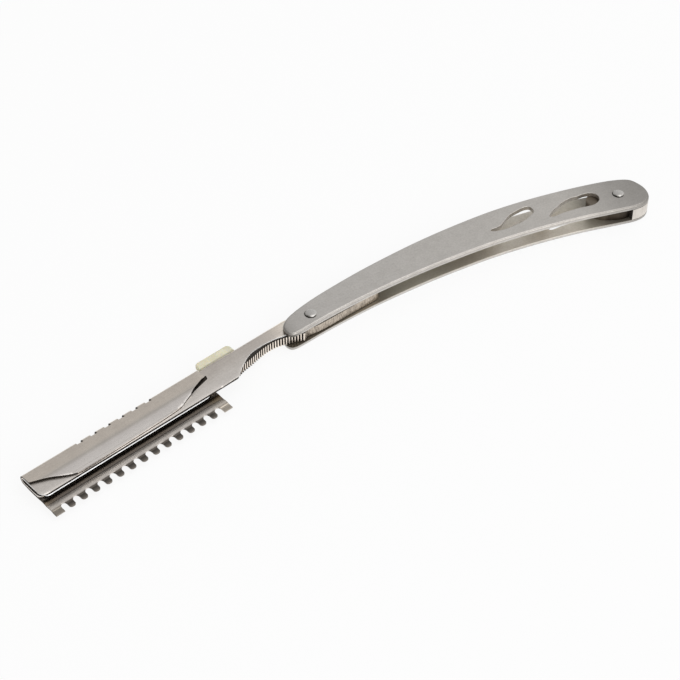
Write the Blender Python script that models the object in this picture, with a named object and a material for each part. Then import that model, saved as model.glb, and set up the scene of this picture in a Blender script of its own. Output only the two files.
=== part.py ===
"""Replaceable blade straight razor, opened and lying on its rear scale."""
import math

import bmesh
import bpy
from mathutils import Matrix, Vector
from mathutils.geometry import interpolate_bezier

# Handle scales, measured from the pivot along and across the line of the rivets
RIVET_SPACING = 0.1195
HANDLE_RISE = 0.0143
SCALE_THICKNESS = 0.0015
SLOT_WIDTH = 0.0044
SCALE_EDGE_ROUND = 0.0008
WINDOW_EDGE_BREAK = 0.00015
REST_ALONG = 0.060
REST_ACROSS = 0.007

# Rivets and spacer
RIVET_SHAFT_RADIUS = 0.00125
RIVET_HEAD_RADIUS = 0.00178
RIVET_HEAD_HEIGHT = 0.0005
COUNTERSINK_DEPTH = 0.0006
REAR_RECESS = 0.0001
SHAFT_CLEARANCE = 0.0001
SEAT_GAP = 0.00005
SPACER_NOSE = 0.0113
SPACER_NOSE_HALF_WIDTH = 0.0065
SPACER_TILT = math.radians(13)
SPACER_WALL_START = 0.0006

# Head, measured from the pivot along its axis and toward its spine
HEAD_ANGLE = math.radians(11.9)
TANG_LENGTH = 0.0414
SLEEVE_SHEET = 0.0004
SLEEVE_DROP = 0.0047
SLEEVE_CROWN = 0.0059
SLEEVE_FRONT_HALF = 0.00095
SLEEVE_TANG_HALF = 0.00175
MOUTH_PINCH = 0.0002
MOUTH_DEPTH = 0.002
FOLD_END = 0.007

# Tang bar
BAR_THICKNESS = 0.003
BAR_FRONT_GAP = 0.0098
BAR_HEIGHT = 0.0051
BAR_TAIL = 0.0256
RIB_DEPTH = 0.0004
RIB_COUNT = 28

# Comb guard
GUARD_SHEET = 0.0004
GUARD_CLEARANCE = 0.0001
GUARD_ARCH = 0.0003
GUARD_FLANGE = 0.0043
GUARD_DROP = 0.0112
COMB_ROOT = 0.00845
COMB_OFFSET = 0.0018
COMB_BAND_OFFSET = 0.00147
END_TOOTH_WIDTH = 0.0031
TOOTH_WIDTH = 0.0022
TOOTH_COUNT = 13
FIRST_TOOTH = 0.0051
LAST_TOOTH_END = 0.00545
TOOTH_CORNER = 0.0009
SLOT_COUNT = 6
SLOT_LENGTH = 0.0022
SLOT_PITCH = 0.00513
FIRST_SLOT = 0.0196

# Slider
TAB_GAP = 0.0015
TAB_LENGTH = 0.0137
TAB_TOP = 0.00915
TAB_BASE = 0.005
TAB_THICKNESS = 0.0019
TAB_CORNER = 0.0014
TAB_EDGE_ROUND = 0.0004
TAB_CLEARANCE = 0.00015
TAB_SLOT_BASE = 0.0049
STEM_SET_BACK = 0.0014
STEM_LENGTH = 0.009
STEM_THICKNESS = 0.0011
SLIDER_TRAVEL = 0.005
SLIDER_STOP_GAP = 0.0005
FOOT_BASE = 0.0022
FOOT_HEIGHT = 0.0013
FOOT_THICKNESS = 0.0026
FOOT_SET_BACK = 0.0059
TONGUE_GAP = 0.0003
TONGUE_BASE = 0.0009
TONGUE_HEIGHT = 0.0024
TONGUE_THICKNESS = 0.0009

# Blade
BLADE_LENGTH = 0.062
BLADE_FRONT_GAP = 0.0013
BLADE_REAR_GAP = 0.0026
BLADE_THICKNESS = 0.00025
BLADE_BACK = 0.0035
BLADE_EDGE = 0.00495
BLADE_GRIND = 0.0009
BLADE_EDGE_THICKNESS = 0.00005
BLADE_CORNER = 0.0015

# Lengths that follow from the blade and the tang
GUARD_LENGTH = BLADE_LENGTH + BLADE_FRONT_GAP + BLADE_REAR_GAP
HEAD_LENGTH = TANG_LENGTH + GUARD_LENGTH
BLADE_REAR = TANG_LENGTH + BLADE_REAR_GAP
BAR_LENGTH = TANG_LENGTH - BAR_FRONT_GAP
TAB_FRONT = TANG_LENGTH - TAB_GAP
STEM_FRONT = TAB_FRONT - STEM_SET_BACK
FOOT_FRONT = TAB_FRONT - FOOT_SET_BACK
TONGUE_TIP = BLADE_REAR - TONGUE_GAP

# Smoothness
LOOP_STEPS = 3
ROUND_STEPS = 32
FOLD_STEPS = 8
ROUND_EDGE_STEPS = 3
SHARP_ANGLE = math.radians(35)

# Outlines as shares of the rivet spacing and of the handle's rise
SCALE_OUTLINE_SHARES = (
    (-0.065, -0.385), (0.01, -0.28), (0.08, -0.19), (0.2, -0.072), (0.34, 0.0),
    (0.47, 0.016), (0.6, -0.019), (0.73, -0.128), (0.85, -0.287), (0.97, -0.507),
    (1.02, -0.584), (1.052, -0.545), (1.074, -0.39), (1.083, -0.14), (1.079, 0.105),
    (1.066, 0.32), (1.03, 0.483), (0.97, 0.626), (0.87, 0.79), (0.76, 0.92),
    (0.65, 0.99), (0.54, 0.99), (0.42, 0.94), (0.31, 0.846), (0.19, 0.703),
    (0.07, 0.507), (0.012, 0.385), (-0.033, 0.262), (-0.067, 0.126),
    (-0.087, -0.05), (-0.09, -0.224), (-0.082, -0.357),
)
FRONT_WINDOW_SHARES = (
    (0.601, 0.355), (0.622, 0.34), (0.639, 0.385), (0.659, 0.503), (0.682, 0.622),
    (0.708, 0.678), (0.731, 0.7), (0.747, 0.67), (0.752, 0.573), (0.748, 0.448),
    (0.732, 0.378), (0.703, 0.294), (0.672, 0.259), (0.638, 0.266), (0.609, 0.315),
)
REAR_WINDOW_SHARES = (
    (0.777, 0.11), (0.793, 0.238), (0.82, 0.336), (0.845, 0.406), (0.874, 0.434),
    (0.895, 0.41), (0.914, 0.406), (0.933, 0.357), (0.945, 0.245), (0.943, 0.098),
    (0.932, 0.007), (0.912, -0.035), (0.867, 0.035), (0.818, 0.077),
)

# Sleeve stations: along the tang and then the guard, near edge, far edge, crown, widening
SLEEVE_STATION_SHARES = (
    (2.0, -0.5, -0.4, 1.0, 0.0), (1.995, -0.7, -0.54, 1.0, 0.0),
    (1.985, -0.87, -0.66, 1.0, 0.0), (1.969, -0.97, -0.7, 1.0, 0.0),
    (1.953, -1.0, -0.7, 1.0, 0.0), (1.772, -1.0, -0.7, 1.0, 0.0),
    (1.577, -1.0, -0.7, 1.0, 0.0), (1.381, -1.0, -0.7, 1.0, 0.0),
    (1.186, -1.0, -0.7, 1.0, 0.0), (1.056, -1.0, -0.7, 1.0, 0.0),
    (0.995, -1.0, -0.56, 0.995, 0.0), (0.949, -1.03, -0.4, 0.99, 0.15),
    (0.894, -1.09, -0.3, 0.98, 0.55), (0.855, -1.14, -0.3, 0.97, 0.85),
    (0.829, -1.15, -0.32, 0.965, 0.97), (0.809, -1.07, -0.36, 0.96, 1.0),
    (0.785, -0.87, -0.4, 0.955, 1.0), (0.749, -0.63, -0.4, 0.95, 1.0),
    (0.695, -0.35, -0.25, 0.945, 1.0), (0.638, -0.085, -0.03, 0.94, 1.0),
    (0.573, 0.1, 0.1, 0.935, 1.0), (0.492, 0.145, 0.145, 0.935, 1.0),
    (0.415, 0.12, 0.12, 0.935, 1.0), (0.345, 0.03, 0.03, 0.935, 1.0),
    (0.298, -0.085, -0.085, 0.935, 1.0), (0.241, -0.2, -0.2, 0.935, 1.0),
    (0.168, -0.34, -0.34, 0.93, 1.0), (0.086, -0.45, -0.45, 0.87, 1.0),
    (0.0, -0.5, -0.5, 0.8, 1.0), (-0.06, -0.44, -0.44, 0.72, 1.0),
    (-0.096, -0.25, -0.25, 0.64, 1.0),
)

# Tang bar edges: ribbed edge and spine edge forward of the step, and the tail
RIBBED_EDGE_SHARES = (
    (-1.0, -0.56), (-0.92, -0.35), (-0.79, -0.12), (-0.67, -0.01), (-0.56, 0.0),
    (-0.47, -0.06), (-0.4, -0.16), (-0.34, -0.26), (-0.265, -0.43), (-0.175, -0.7),
)
TAIL_EDGE_SHARES = (
    (-0.145, -0.53), (0.03, -0.7), (0.35, -0.78), (0.68, -0.84), (0.93, -0.9),
    (0.99, -0.84), (1.0, -0.74), (0.93, -0.6), (0.75, -0.2), (0.5, 0.3), (0.25, 0.72),
    (0.1, 0.87),
)
BAR_SPINE_SHARES = (0.74, 0.12, 0.02)

# Near flange of the guard: along from the tip, and edge as a share of its depth
FLANGE_STATION_SHARES = (
    (0.0, 0.47), (0.04, 0.23), (0.09, -0.1), (0.13, -0.46), (0.165, -0.76), (0.2, -0.95),
    (0.24, -1.0), (0.36, -0.97), (0.48, -0.94), (0.6, -0.9), (0.72, -0.85), (0.79, -0.78),
    (0.835, -0.52), (0.873, -0.24), (0.935, 0.11), (1.0, 0.45),
)


def clear_scene():
    for item in list(bpy.data.objects):
        bpy.data.objects.remove(item, do_unlink=True)


def make_material(name, colour, roughness, metallic):
    material = bpy.data.materials.new(name)
    material.use_nodes = True
    shader = material.node_tree.nodes["Principled BSDF"]
    shader.inputs["Base Color"].default_value = (*colour, 1.0)
    shader.inputs["Roughness"].default_value = roughness
    shader.inputs["Metallic"].default_value = metallic
    return material


def object_from(name, shape):
    """Turn a bmesh into an object with its faces pointing out."""
    bmesh.ops.recalc_face_normals(shape, faces=shape.faces)
    mesh = bpy.data.meshes.new(name)
    shape.to_mesh(mesh)
    shape.free()
    item = bpy.data.objects.new(name, mesh)
    bpy.context.collection.objects.link(item)
    return item


def apply_modifiers(item):
    bpy.context.view_layer.update()
    shown = item.evaluated_get(bpy.context.evaluated_depsgraph_get())
    mesh = bpy.data.meshes.new_from_object(shown)
    item.modifiers.clear()
    item.data = mesh


def combine(item, tool, operation):
    step = item.modifiers.new("Combine", "BOOLEAN")
    step.operation = operation
    step.solver = "EXACT"
    step.object = tool
    apply_modifiers(item)
    bpy.data.objects.remove(tool, do_unlink=True)


def smooth_loop(points, steps, closed=True):
    """Curve through the points, with equal steps between neighbours."""
    count = len(points)
    spans = count if closed else count - 1
    loop = []
    for index in range(spans):
        start = Vector(points[index])
        end = Vector(points[(index + 1) % count])
        before = Vector(points[index - 1]) if closed or index else start
        after = Vector(points[(index + 2) % count]) if closed or index + 2 < count else end
        reach = (end - start).length / 3
        leave = start + (end - before).normalized() * reach
        arrive = end - (after - start).normalized() * reach
        span = interpolate_bezier(start, leave, arrive, end, steps + 1)
        loop.extend(Vector(point) for point in span[:-1])
    if not closed:
        loop.append(Vector(points[-1]))
    return loop


def offset_loop(loop, distance):
    """Move a closed loop outward by the distance, or inward when it is negative."""
    moved = []
    area = sum(a.x * b.y - b.x * a.y for a, b in zip(loop, loop[1:] + loop[:1]))
    side = 1 if area > 0 else -1
    for index, point in enumerate(loop):
        along = (loop[(index + 1) % len(loop)] - loop[index - 1]).normalized()
        moved.append(point + Vector((along.y, -along.x)) * distance * side)
    return moved


def loft(name, rings):
    """Closed solid through rings of equal point counts."""
    shape = bmesh.new()
    rows = [[shape.verts.new(point) for point in ring] for ring in rings]
    for low, high in zip(rows, rows[1:]):
        for index in range(len(low)):
            after = (index + 1) % len(low)
            shape.faces.new((low[index], low[after], high[after], high[index]))
    shape.faces.new(rows[0])
    shape.faces.new(rows[-1])
    return object_from(name, shape)


def prism(name, loop, low, high):
    return loft(name, [[(p[0], p[1], level) for p in loop] for level in (low, high)])


def box(name, left, right, back, front, low, high):
    corners = ((left, back), (right, back), (right, front), (left, front))
    return prism(name, corners, low, high)


def turned(name, profile, centre_x, centre_y):
    """Solid of revolution about an upright axis from radius and height pairs."""
    shape = bmesh.new()
    points = [shape.verts.new((radius, 0, height)) for radius, height in profile]
    edges = [shape.edges.new(pair) for pair in zip(points, points[1:])]
    bmesh.ops.spin(
        shape, geom=points + edges, cent=(0, 0, 0), axis=(0, 0, 1),
        angle=math.tau, steps=ROUND_STEPS, use_merge=True, use_duplicate=False,
    )
    bmesh.ops.remove_doubles(shape, verts=shape.verts, dist=SEAT_GAP / 10)
    bmesh.ops.translate(shape, verts=shape.verts, vec=(centre_x, centre_y, 0))
    return object_from(name, shape)


def sheet(name, rows, thickness):
    """Open grid of points made into sheet metal of even thickness."""
    shape = bmesh.new()
    grid = [[shape.verts.new(point) for point in row] for row in rows]
    for low, high in zip(grid, grid[1:]):
        for index in range(len(low) - 1):
            shape.faces.new((low[index], low[index + 1], high[index + 1], high[index]))
    item = object_from(name, shape)
    step = item.modifiers.new("Sheet", "SOLIDIFY")
    step.thickness = thickness
    step.offset = 0
    step.use_even_offset = True
    apply_modifiers(item)
    return item


def finish(item, material, smooth=True):
    item.data.materials.clear()
    item.data.materials.append(material)
    if smooth:
        item.data.shade_smooth()
        item.data.set_sharp_from_angle(angle=SHARP_ANGLE)
    return item


def handle_loop(shares):
    points = [(along * RIVET_SPACING, across * HANDLE_RISE) for along, across in shares]
    return smooth_loop(points, LOOP_STEPS)


def place_handle(item):
    """Move a piece drawn from the pivot so the rest point is the origin."""
    item.data.transform(Matrix.Translation((-REST_ALONG, -REST_ACROSS, 0)))
    item.data.update()


def place_head(item):
    """Set the piece's origin on the pivot and turn it to the head's angle."""
    middle = SCALE_THICKNESS + SLOT_WIDTH / 2
    move = Matrix.Translation((-REST_ALONG, -REST_ACROSS, middle))
    item.matrix_world = move @ Matrix.Rotation(HEAD_ANGLE, 4, "Z")


def window_tool(shares, inner, outer):
    """Cutter for a leaf window that also breaks its rim on the outer face."""
    loop = handle_loop(shares)
    wide = offset_loop(loop, WINDOW_EDGE_BREAK)
    step = math.copysign(WINDOW_EDGE_BREAK, outer - inner)
    past = math.copysign(SCALE_THICKNESS, outer - inner)
    levels = ((loop, inner - past), (loop, outer - step), (wide, outer), (wide, outer + past))
    return loft("window_tool", [[(p.x, p.y, z) for p in ring] for ring, z in levels])


def make_scale(name, inner, outer):
    """Plate with its outer rim rounded and two leaf windows."""
    loop = handle_loop(SCALE_OUTLINE_SHARES)
    side = math.copysign(1, outer - inner)
    rings = [[(p.x, p.y, inner) for p in loop]]
    for index in range(ROUND_EDGE_STEPS + 1):
        turn = math.radians(90) * index / ROUND_EDGE_STEPS
        inset = offset_loop(loop, -SCALE_EDGE_ROUND * (1 - math.cos(turn)))
        level = outer - side * SCALE_EDGE_ROUND * (1 - math.sin(turn))
        rings.append([(p.x, p.y, level) for p in inset])
    item = loft(name, rings)
    for shares in (FRONT_WINDOW_SHARES, REAR_WINDOW_SHARES):
        combine(item, window_tool(shares, inner, outer), "DIFFERENCE")
    return item


def rivet_profile(grow):
    """Radius and height pairs of a rivet, or of its hole when it grows."""
    top = 2 * SCALE_THICKNESS + SLOT_WIDTH + SEAT_GAP
    shaft = RIVET_SHAFT_RADIUS + grow
    rear = RIVET_HEAD_RADIUS + grow
    if grow:
        cone_end = REAR_RECESS + COUNTERSINK_DEPTH + grow
        past = top + SCALE_THICKNESS
        return ((0, -SCALE_THICKNESS), (rear, -SCALE_THICKNESS), (rear, REAR_RECESS),
                (shaft, cone_end), (shaft, past), (0, past))
    points = [(0, REAR_RECESS), (rear, REAR_RECESS), (shaft, REAR_RECESS + COUNTERSINK_DEPTH),
              (shaft, top), (rear, top)]
    for index in range(1, 6):
        turn = math.radians(90) * index / 6
        points.append((rear * math.cos(turn), top + RIVET_HEAD_HEIGHT * math.sin(turn)))
    points.append((0, top + RIVET_HEAD_HEIGHT))
    return points


def make_rivet(name, along):
    return turned(name, rivet_profile(0), along, 0)


def make_spacer():
    """Block that fills the slot at the tail, with a rounded nose."""
    low = SCALE_THICKNESS + SEAT_GAP
    high = SCALE_THICKNESS + SLOT_WIDTH - SEAT_GAP
    item = prism("tail_spacer", handle_loop(SCALE_OUTLINE_SHARES), low, high)
    wall = RIVET_SPACING + SPACER_WALL_START
    reach = 2 * SPACER_NOSE
    nose = []
    for index in range(2 * FOLD_STEPS + 1):
        turn = math.radians(90) + math.pi * index / (2 * FOLD_STEPS)
        along = SPACER_NOSE * math.cos(turn)
        across = SPACER_NOSE_HALF_WIDTH * math.sin(turn)
        nose.append((
            RIVET_SPACING + along * math.cos(SPACER_TILT) + across * math.sin(SPACER_TILT),
            across * math.cos(SPACER_TILT) - along * math.sin(SPACER_TILT),
        ))
    nose += [(wall, nose[-1][1]), (wall, -reach), (wall + reach, -reach),
             (wall + reach, reach), (nose[0][0], reach)]
    combine(item, prism("nose_tool", nose, 0, high + low), "INTERSECT")
    return item


def bar_loop():
    """Outline of the tang bar with ribs along its thumb edge."""
    def local(shares, length):
        return [(along * length, up * BAR_HEIGHT) for along, up in shares]
    ribbed = smooth_loop(local(RIBBED_EDGE_SHARES, BAR_LENGTH), LOOP_STEPS * 4, False)
    total = sum((b - a).length for a, b in zip(ribbed, ribbed[1:]))
    loop = []
    for index in range(RIB_COUNT):
        for share, deep in ((0.0, 1), (0.35, 1), (0.5, 0), (0.85, 0)):
            point, normal = point_along(ribbed, total * (index + share) / RIB_COUNT)
            loop.append(point + normal * RIB_DEPTH * deep)
    loop.append(ribbed[-1])
    tail = smooth_loop(local(TAIL_EDGE_SHARES, BAR_TAIL), LOOP_STEPS, False)
    return loop + tail + bar_front()


def bar_front():
    """Spine edge of the bar, with a step that stops the slider."""
    high, low, tip = (share * BAR_HEIGHT for share in BAR_SPINE_SHARES)
    step = SLIDER_TRAVEL + STEM_LENGTH - STEM_FRONT + SLIDER_STOP_GAP
    corners = ((-FOLD_END, high), (step, high), (step, low), (-BAR_LENGTH, tip))
    return [Vector(point) for point in corners]


def point_along(path, distance):
    """Point on the path at the distance, and the direction to its left."""
    for start, end in zip(path, path[1:]):
        length = (end - start).length
        if distance <= length:
            along = (end - start).normalized()
            return start + along * distance, Vector((-along.y, along.x))
        distance -= length
    along = (path[-1] - path[-2]).normalized()
    return path[-1], Vector((-along.y, along.x))


def make_bar():
    half = BAR_THICKNESS / 2
    item = prism("tang_bar", bar_loop(), -half, half)
    return item


def drill_pivot(item):
    """Cut the pivot hole through a piece of the head."""
    radius = RIVET_SHAFT_RADIUS + SHAFT_CLEARANCE
    profile = ((0, -SLOT_WIDTH), (radius, -SLOT_WIDTH), (radius, SLOT_WIDTH), (0, SLOT_WIDTH))
    combine(item, turned("pivot_tool", profile, 0, 0), "DIFFERENCE")


def fold_arc(base, crown, half):
    """Points over the spine from the near side to the far side."""
    points = []
    for index in range(FOLD_STEPS + 1):
        turn = math.pi * index / FOLD_STEPS
        points.append((base + (crown - base) * math.sin(turn), half * math.cos(turn)))
    return points


def make_sleeve():
    """Sheet folded over the spine, pinched at its mouth, with a shorter far side."""
    rows = []
    for along, low, far_low, crown, widen in SLEEVE_STATION_SHARES:
        u = -TANG_LENGTH * min(along, 1) - GUARD_LENGTH * max(along - 1, 0)
        edge = low * SLEEVE_DROP
        far_edge = far_low * SLEEVE_DROP
        top = crown * SLEEVE_CROWN
        half = SLEEVE_FRONT_HALF + (SLEEVE_TANG_HALF - SLEEVE_FRONT_HALF) * widen
        pinch = MOUTH_PINCH * (1 - widen)
        base = top - half
        knee = min(edge + MOUTH_DEPTH, (edge + base) / 2)
        far_knee = min(far_edge + MOUTH_DEPTH, (far_edge + base) / 2)
        near = [(edge, half - pinch), (knee, half)]
        far = [(far_knee, -half), (far_edge, pinch - half)]
        section = near + fold_arc(base, top, half) + far
        rows.append([(u, v, z) for v, z in section])
    item = sheet("blade_sleeve", rows, SLEEVE_SHEET)
    open_end = SLEEVE_TANG_HALF - SLEEVE_SHEET / 4
    combine(item, box("fold_tool", -FOLD_END, HEAD_LENGTH, SLEEVE_CROWN / 3,
                      SLEEVE_CROWN * 2, -open_end, open_end), "DIFFERENCE")
    slot_half = TAB_THICKNESS / 2 + TAB_CLEARANCE
    slot_start = -TAB_FRONT - TAB_CLEARANCE
    slot_end = -TAB_FRONT + TAB_LENGTH + SLIDER_TRAVEL + TAB_CLEARANCE
    combine(item, box("slot_tool", slot_start, slot_end, TAB_SLOT_BASE,
                      SLEEVE_CROWN * 2, -slot_half, slot_half), "DIFFERENCE")
    drill_pivot(item)
    return item


def make_guard():
    """Second folded sheet with a short near flange and a long comb flange."""
    inner = SLEEVE_FRONT_HALF + SLEEVE_SHEET / 2 + GUARD_CLEARANCE
    half = inner + GUARD_SHEET / 2
    crown = SLEEVE_CROWN + SLEEVE_SHEET / 2 + GUARD_CLEARANCE + GUARD_SHEET / 2
    base = crown - half
    rows = []
    for along, edge in flange_stations():
        near = []
        for share in (0.0, 0.2, 0.4, 0.6, 0.8):
            v = edge + (base - edge) * share
            near.append((v, half + GUARD_ARCH * arch(v, base)))
        far = [(v, -half - GUARD_ARCH * arch(v, base))
               for v in (base * 0.6, base * 0.2, -base * 0.2, -GUARD_FLANGE)]
        far += comb_section(half)
        section = near + fold_arc(base, crown, half) + far
        rows.append([(-HEAD_LENGTH + along * GUARD_LENGTH, v, z) for v, z in section])
    item = sheet("comb_guard", rows, GUARD_SHEET)
    combine(item, comb_tool(), "DIFFERENCE")
    combine(item, fold_slots_tool(base, crown), "DIFFERENCE")
    return item


def arch(v, base):
    """How far the flange stands off, from none at the fold to full at the middle."""
    share = (base - v) / (base + GUARD_FLANGE)
    return max(0.0, math.sin(math.pi * min(share, 1.0)))


def flange_stations():
    return [(along, low * GUARD_FLANGE) for along, low in FLANGE_STATION_SHARES]


def comb_section(half):
    """Far flange below the blade: crease, light band, joggle and teeth."""
    crease = (GUARD_FLANGE + COMB_ROOT) / 2
    knee = COMB_ROOT + (GUARD_DROP - COMB_ROOT) * 0.35
    return [(-crease * 0.85, -half - GUARD_ARCH / 2), (-crease, -COMB_OFFSET),
            (-COMB_ROOT, -COMB_BAND_OFFSET), (-knee, -COMB_OFFSET),
            (-GUARD_DROP, -COMB_OFFSET)]


def gap_loop(left, right, round_left, round_right):
    """Outline of one gap of the comb, round at its root and flared at its mouth."""
    middle = (left + right) / 2
    radius = (right - left) / 2
    past = -GUARD_DROP - TOOTH_CORNER
    points = []
    for index in range(7):
        turn = math.pi * index / 6
        points.append((middle + radius * math.cos(turn),
                       -COMB_ROOT - radius + radius * math.sin(turn)))
    points += mouth(left, -1, past) if round_left else [(left, past)]
    points += reversed(mouth(right, 1, past)) if round_right else [(right, past)]
    return points


def mouth(edge, side, past):
    """Quarter round that leaves a tooth with a rounded corner."""
    points = []
    for index in range(4):
        turn = math.radians(90) * index / 3
        out = TOOTH_CORNER * (1 - math.cos(turn))
        points.append((edge + side * out, -GUARD_DROP + TOOTH_CORNER * (1 - math.sin(turn))))
    points.append((edge + side * TOOTH_CORNER, past))
    return points


def comb_tool():
    """All the gaps between the teeth as one cutter."""
    front = -HEAD_LENGTH
    rear = front + GUARD_LENGTH
    first = front + FIRST_TOOTH
    last = rear - LAST_TOOTH_END - TOOTH_WIDTH
    pitch = (last - first) / (TOOTH_COUNT - 1)
    edges = [front + END_TOOTH_WIDTH]
    for index in range(TOOTH_COUNT):
        edges += [first + pitch * index, first + pitch * index + TOOTH_WIDTH]
    edges.append(rear - END_TOOTH_WIDTH)
    shape = bmesh.new()
    for index in range(0, len(edges), 2):
        loop = gap_loop(edges[index], edges[index + 1], index > 0, index + 2 < len(edges))
        add_prism(shape, loop, -SLOT_WIDTH, SLOT_WIDTH)
    return object_from("comb_tool", shape)


def add_prism(shape, loop, low, high):
    rows = [[shape.verts.new((p[0], p[1], z)) for p in loop] for z in (low, high)]
    for index in range(len(loop)):
        after = (index + 1) % len(loop)
        shape.faces.new((rows[0][index], rows[0][after], rows[1][after], rows[1][index]))
    shape.faces.new(rows[0])
    shape.faces.new(rows[1])


def fold_slots_tool(base, crown):
    """Six short slots across the guard's fold."""
    shape = bmesh.new()
    for index in range(SLOT_COUNT):
        left = -HEAD_LENGTH + FIRST_SLOT + index * SLOT_PITCH
        right = left + SLOT_LENGTH
        loop = ((left, base), (right, base), (right, crown * 2), (left, crown * 2))
        add_prism(shape, loop, -SLOT_WIDTH, SLOT_WIDTH)
    return object_from("slots_tool", shape)


def rounded_loop(left, right, low, high, radius):
    points = []
    centres = ((right - radius, high - radius, 0), (left + radius, high - radius, 90),
               (left + radius, low + radius, 180), (right - radius, low + radius, 270))
    for x, y, start in centres:
        for index in range(5):
            turn = math.radians(start + 90 * index / 4)
            points.append((x + radius * math.cos(turn), y + radius * math.sin(turn)))
    return points


def make_slider():
    """Plastic tab over the spine, stem through its slot and tongue behind the blade."""
    half = TAB_THICKNESS / 2
    loop = rounded_loop(-TAB_FRONT, -TAB_FRONT + TAB_LENGTH, TAB_BASE, TAB_TOP, TAB_CORNER)
    shape = bmesh.new()
    add_prism(shape, loop, -half, half)
    caps = [face for face in shape.faces if len(face.verts) == len(loop)]
    edges = list({edge for face in caps for edge in face.edges})
    bmesh.ops.bevel(shape, geom=edges, offset=TAB_EDGE_ROUND, segments=2, profile=0.5,
                    affect="EDGES")
    item = object_from("blade_slider", shape)
    rear = -STEM_FRONT + STEM_LENGTH
    stem = STEM_THICKNESS / 2
    foot = FOOT_THICKNESS / 2
    tongue = TONGUE_THICKNESS / 2
    combine(item, box("stem_tool", -STEM_FRONT, rear, FOOT_BASE + FOOT_HEIGHT / 2,
                      (TAB_BASE + TAB_TOP) / 2, -stem, stem), "UNION")
    combine(item, box("foot_tool", -FOOT_FRONT, rear, FOOT_BASE,
                      FOOT_BASE + FOOT_HEIGHT, -foot, foot), "UNION")
    combine(item, box("tongue_tool", -TONGUE_TIP, -STEM_FRONT + STEM_LENGTH / 2, TONGUE_BASE,
                      TONGUE_BASE + TONGUE_HEIGHT, -tongue, tongue), "UNION")
    return item


def make_blade():
    """Thin blade against the far cheek, with its edge ground on both faces."""
    front = -BLADE_REAR - BLADE_LENGTH
    lip = SLEEVE_FRONT_HALF - MOUTH_PINCH - SLEEVE_SHEET / 2
    seat = -lip + SEAT_GAP + BLADE_THICKNESS / 2
    half = BLADE_THICKNESS / 2
    tip = BLADE_EDGE_THICKNESS / 2
    rings = []
    stations = ((0.0, 1.0), (0.3, 0.3), (1.0, 0.0))
    ends = [(front + BLADE_CORNER * along, cut) for along, cut in stations]
    ends += [(-BLADE_REAR - BLADE_CORNER * along, cut) for along, cut in reversed(stations)]
    for u, cut in ends:
        edge = -BLADE_EDGE + BLADE_CORNER * cut
        ground = edge + BLADE_GRIND
        section = ((BLADE_BACK, half), (ground, half), (edge, tip),
                   (edge, -tip), (ground, -half), (BLADE_BACK, -half))
        rings.append([(u, v, seat + z) for v, z in section])
    return loft("razor_blade", rings)


def build():
    clear_scene()
    satin = make_material("satin_steel", (0.56, 0.55, 0.53), 0.38, 1.0)
    spacer = make_material("spacer_steel", (0.5, 0.49, 0.47), 0.4, 1.0)
    rivet = make_material("rivet_steel", (0.66, 0.65, 0.63), 0.22, 1.0)
    tang = make_material("tang_steel", (0.45, 0.43, 0.4), 0.4, 1.0)
    sleeve = make_material("sleeve_steel", (0.6, 0.57, 0.54), 0.3, 1.0)
    guard = make_material("guard_steel", (0.52, 0.48, 0.44), 0.3, 1.0)
    blade = make_material("blade_steel", (0.72, 0.72, 0.72), 0.15, 1.0)
    cream = make_material("cream_plastic", (0.84, 0.8, 0.6), 0.45, 0.0)

    top = SCALE_THICKNESS + SLOT_WIDTH
    near_scale = make_scale("near_scale", top, top + SCALE_THICKNESS)
    rear_scale = make_scale("rear_scale", SCALE_THICKNESS, 0)
    tail_spacer = make_spacer()
    for item in (near_scale, rear_scale, tail_spacer):
        holes = (RIVET_SPACING,) if item is tail_spacer else (0, RIVET_SPACING)
        for along in holes:
            tool = turned("hole_tool", rivet_profile(SHAFT_CLEARANCE), along, 0)
            combine(item, tool, "DIFFERENCE")
    handle = (
        (near_scale, satin), (rear_scale, satin), (tail_spacer, spacer),
        (make_rivet("pivot_rivet", 0), rivet), (make_rivet("tail_rivet", RIVET_SPACING), rivet),
    )
    for item, material in handle:
        place_handle(item)
        finish(item, material)

    bar = make_bar()
    drill_pivot(bar)
    head = (
        (bar, tang), (make_sleeve(), sleeve), (make_guard(), guard),
        (make_slider(), cream), (make_blade(), blade),
    )
    for item, material in head:
        place_head(item)
        finish(item, material)


build()
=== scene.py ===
"""Looks of the straight razor: finer pieces over its solids, steels, plastic and light."""
import math

import bmesh
import bpy
import numpy as np
from mathutils import Matrix, Vector

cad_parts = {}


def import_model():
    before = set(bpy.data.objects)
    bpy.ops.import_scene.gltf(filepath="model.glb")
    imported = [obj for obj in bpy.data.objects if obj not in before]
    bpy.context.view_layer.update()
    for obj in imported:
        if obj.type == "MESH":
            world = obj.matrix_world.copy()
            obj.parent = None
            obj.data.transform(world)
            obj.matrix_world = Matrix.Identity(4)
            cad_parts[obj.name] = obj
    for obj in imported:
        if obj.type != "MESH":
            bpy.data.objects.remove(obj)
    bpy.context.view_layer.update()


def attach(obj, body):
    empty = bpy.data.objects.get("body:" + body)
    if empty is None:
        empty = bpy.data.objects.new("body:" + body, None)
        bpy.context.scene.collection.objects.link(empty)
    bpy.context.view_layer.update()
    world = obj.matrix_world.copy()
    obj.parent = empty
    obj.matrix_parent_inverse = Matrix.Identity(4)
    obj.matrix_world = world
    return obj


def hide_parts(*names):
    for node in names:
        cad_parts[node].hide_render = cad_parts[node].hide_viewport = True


# Handle
RIVET_SPACING = 0.1195
HANDLE_RISE = 0.0143
SCALE_THICKNESS = 0.0015
SLOT_WIDTH = 0.0044
SCALE_EDGE_ROUND = 0.0008
INNER_EDGE_BREAK = 0.00012
WINDOW_EDGE_BREAK = 0.00015
REST_ALONG = 0.060
REST_ACROSS = 0.007
RIVET_SHAFT_RADIUS = 0.00125
RIVET_HEAD_RADIUS = 0.00178
RIVET_HEAD_HEIGHT = 0.0005
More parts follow.
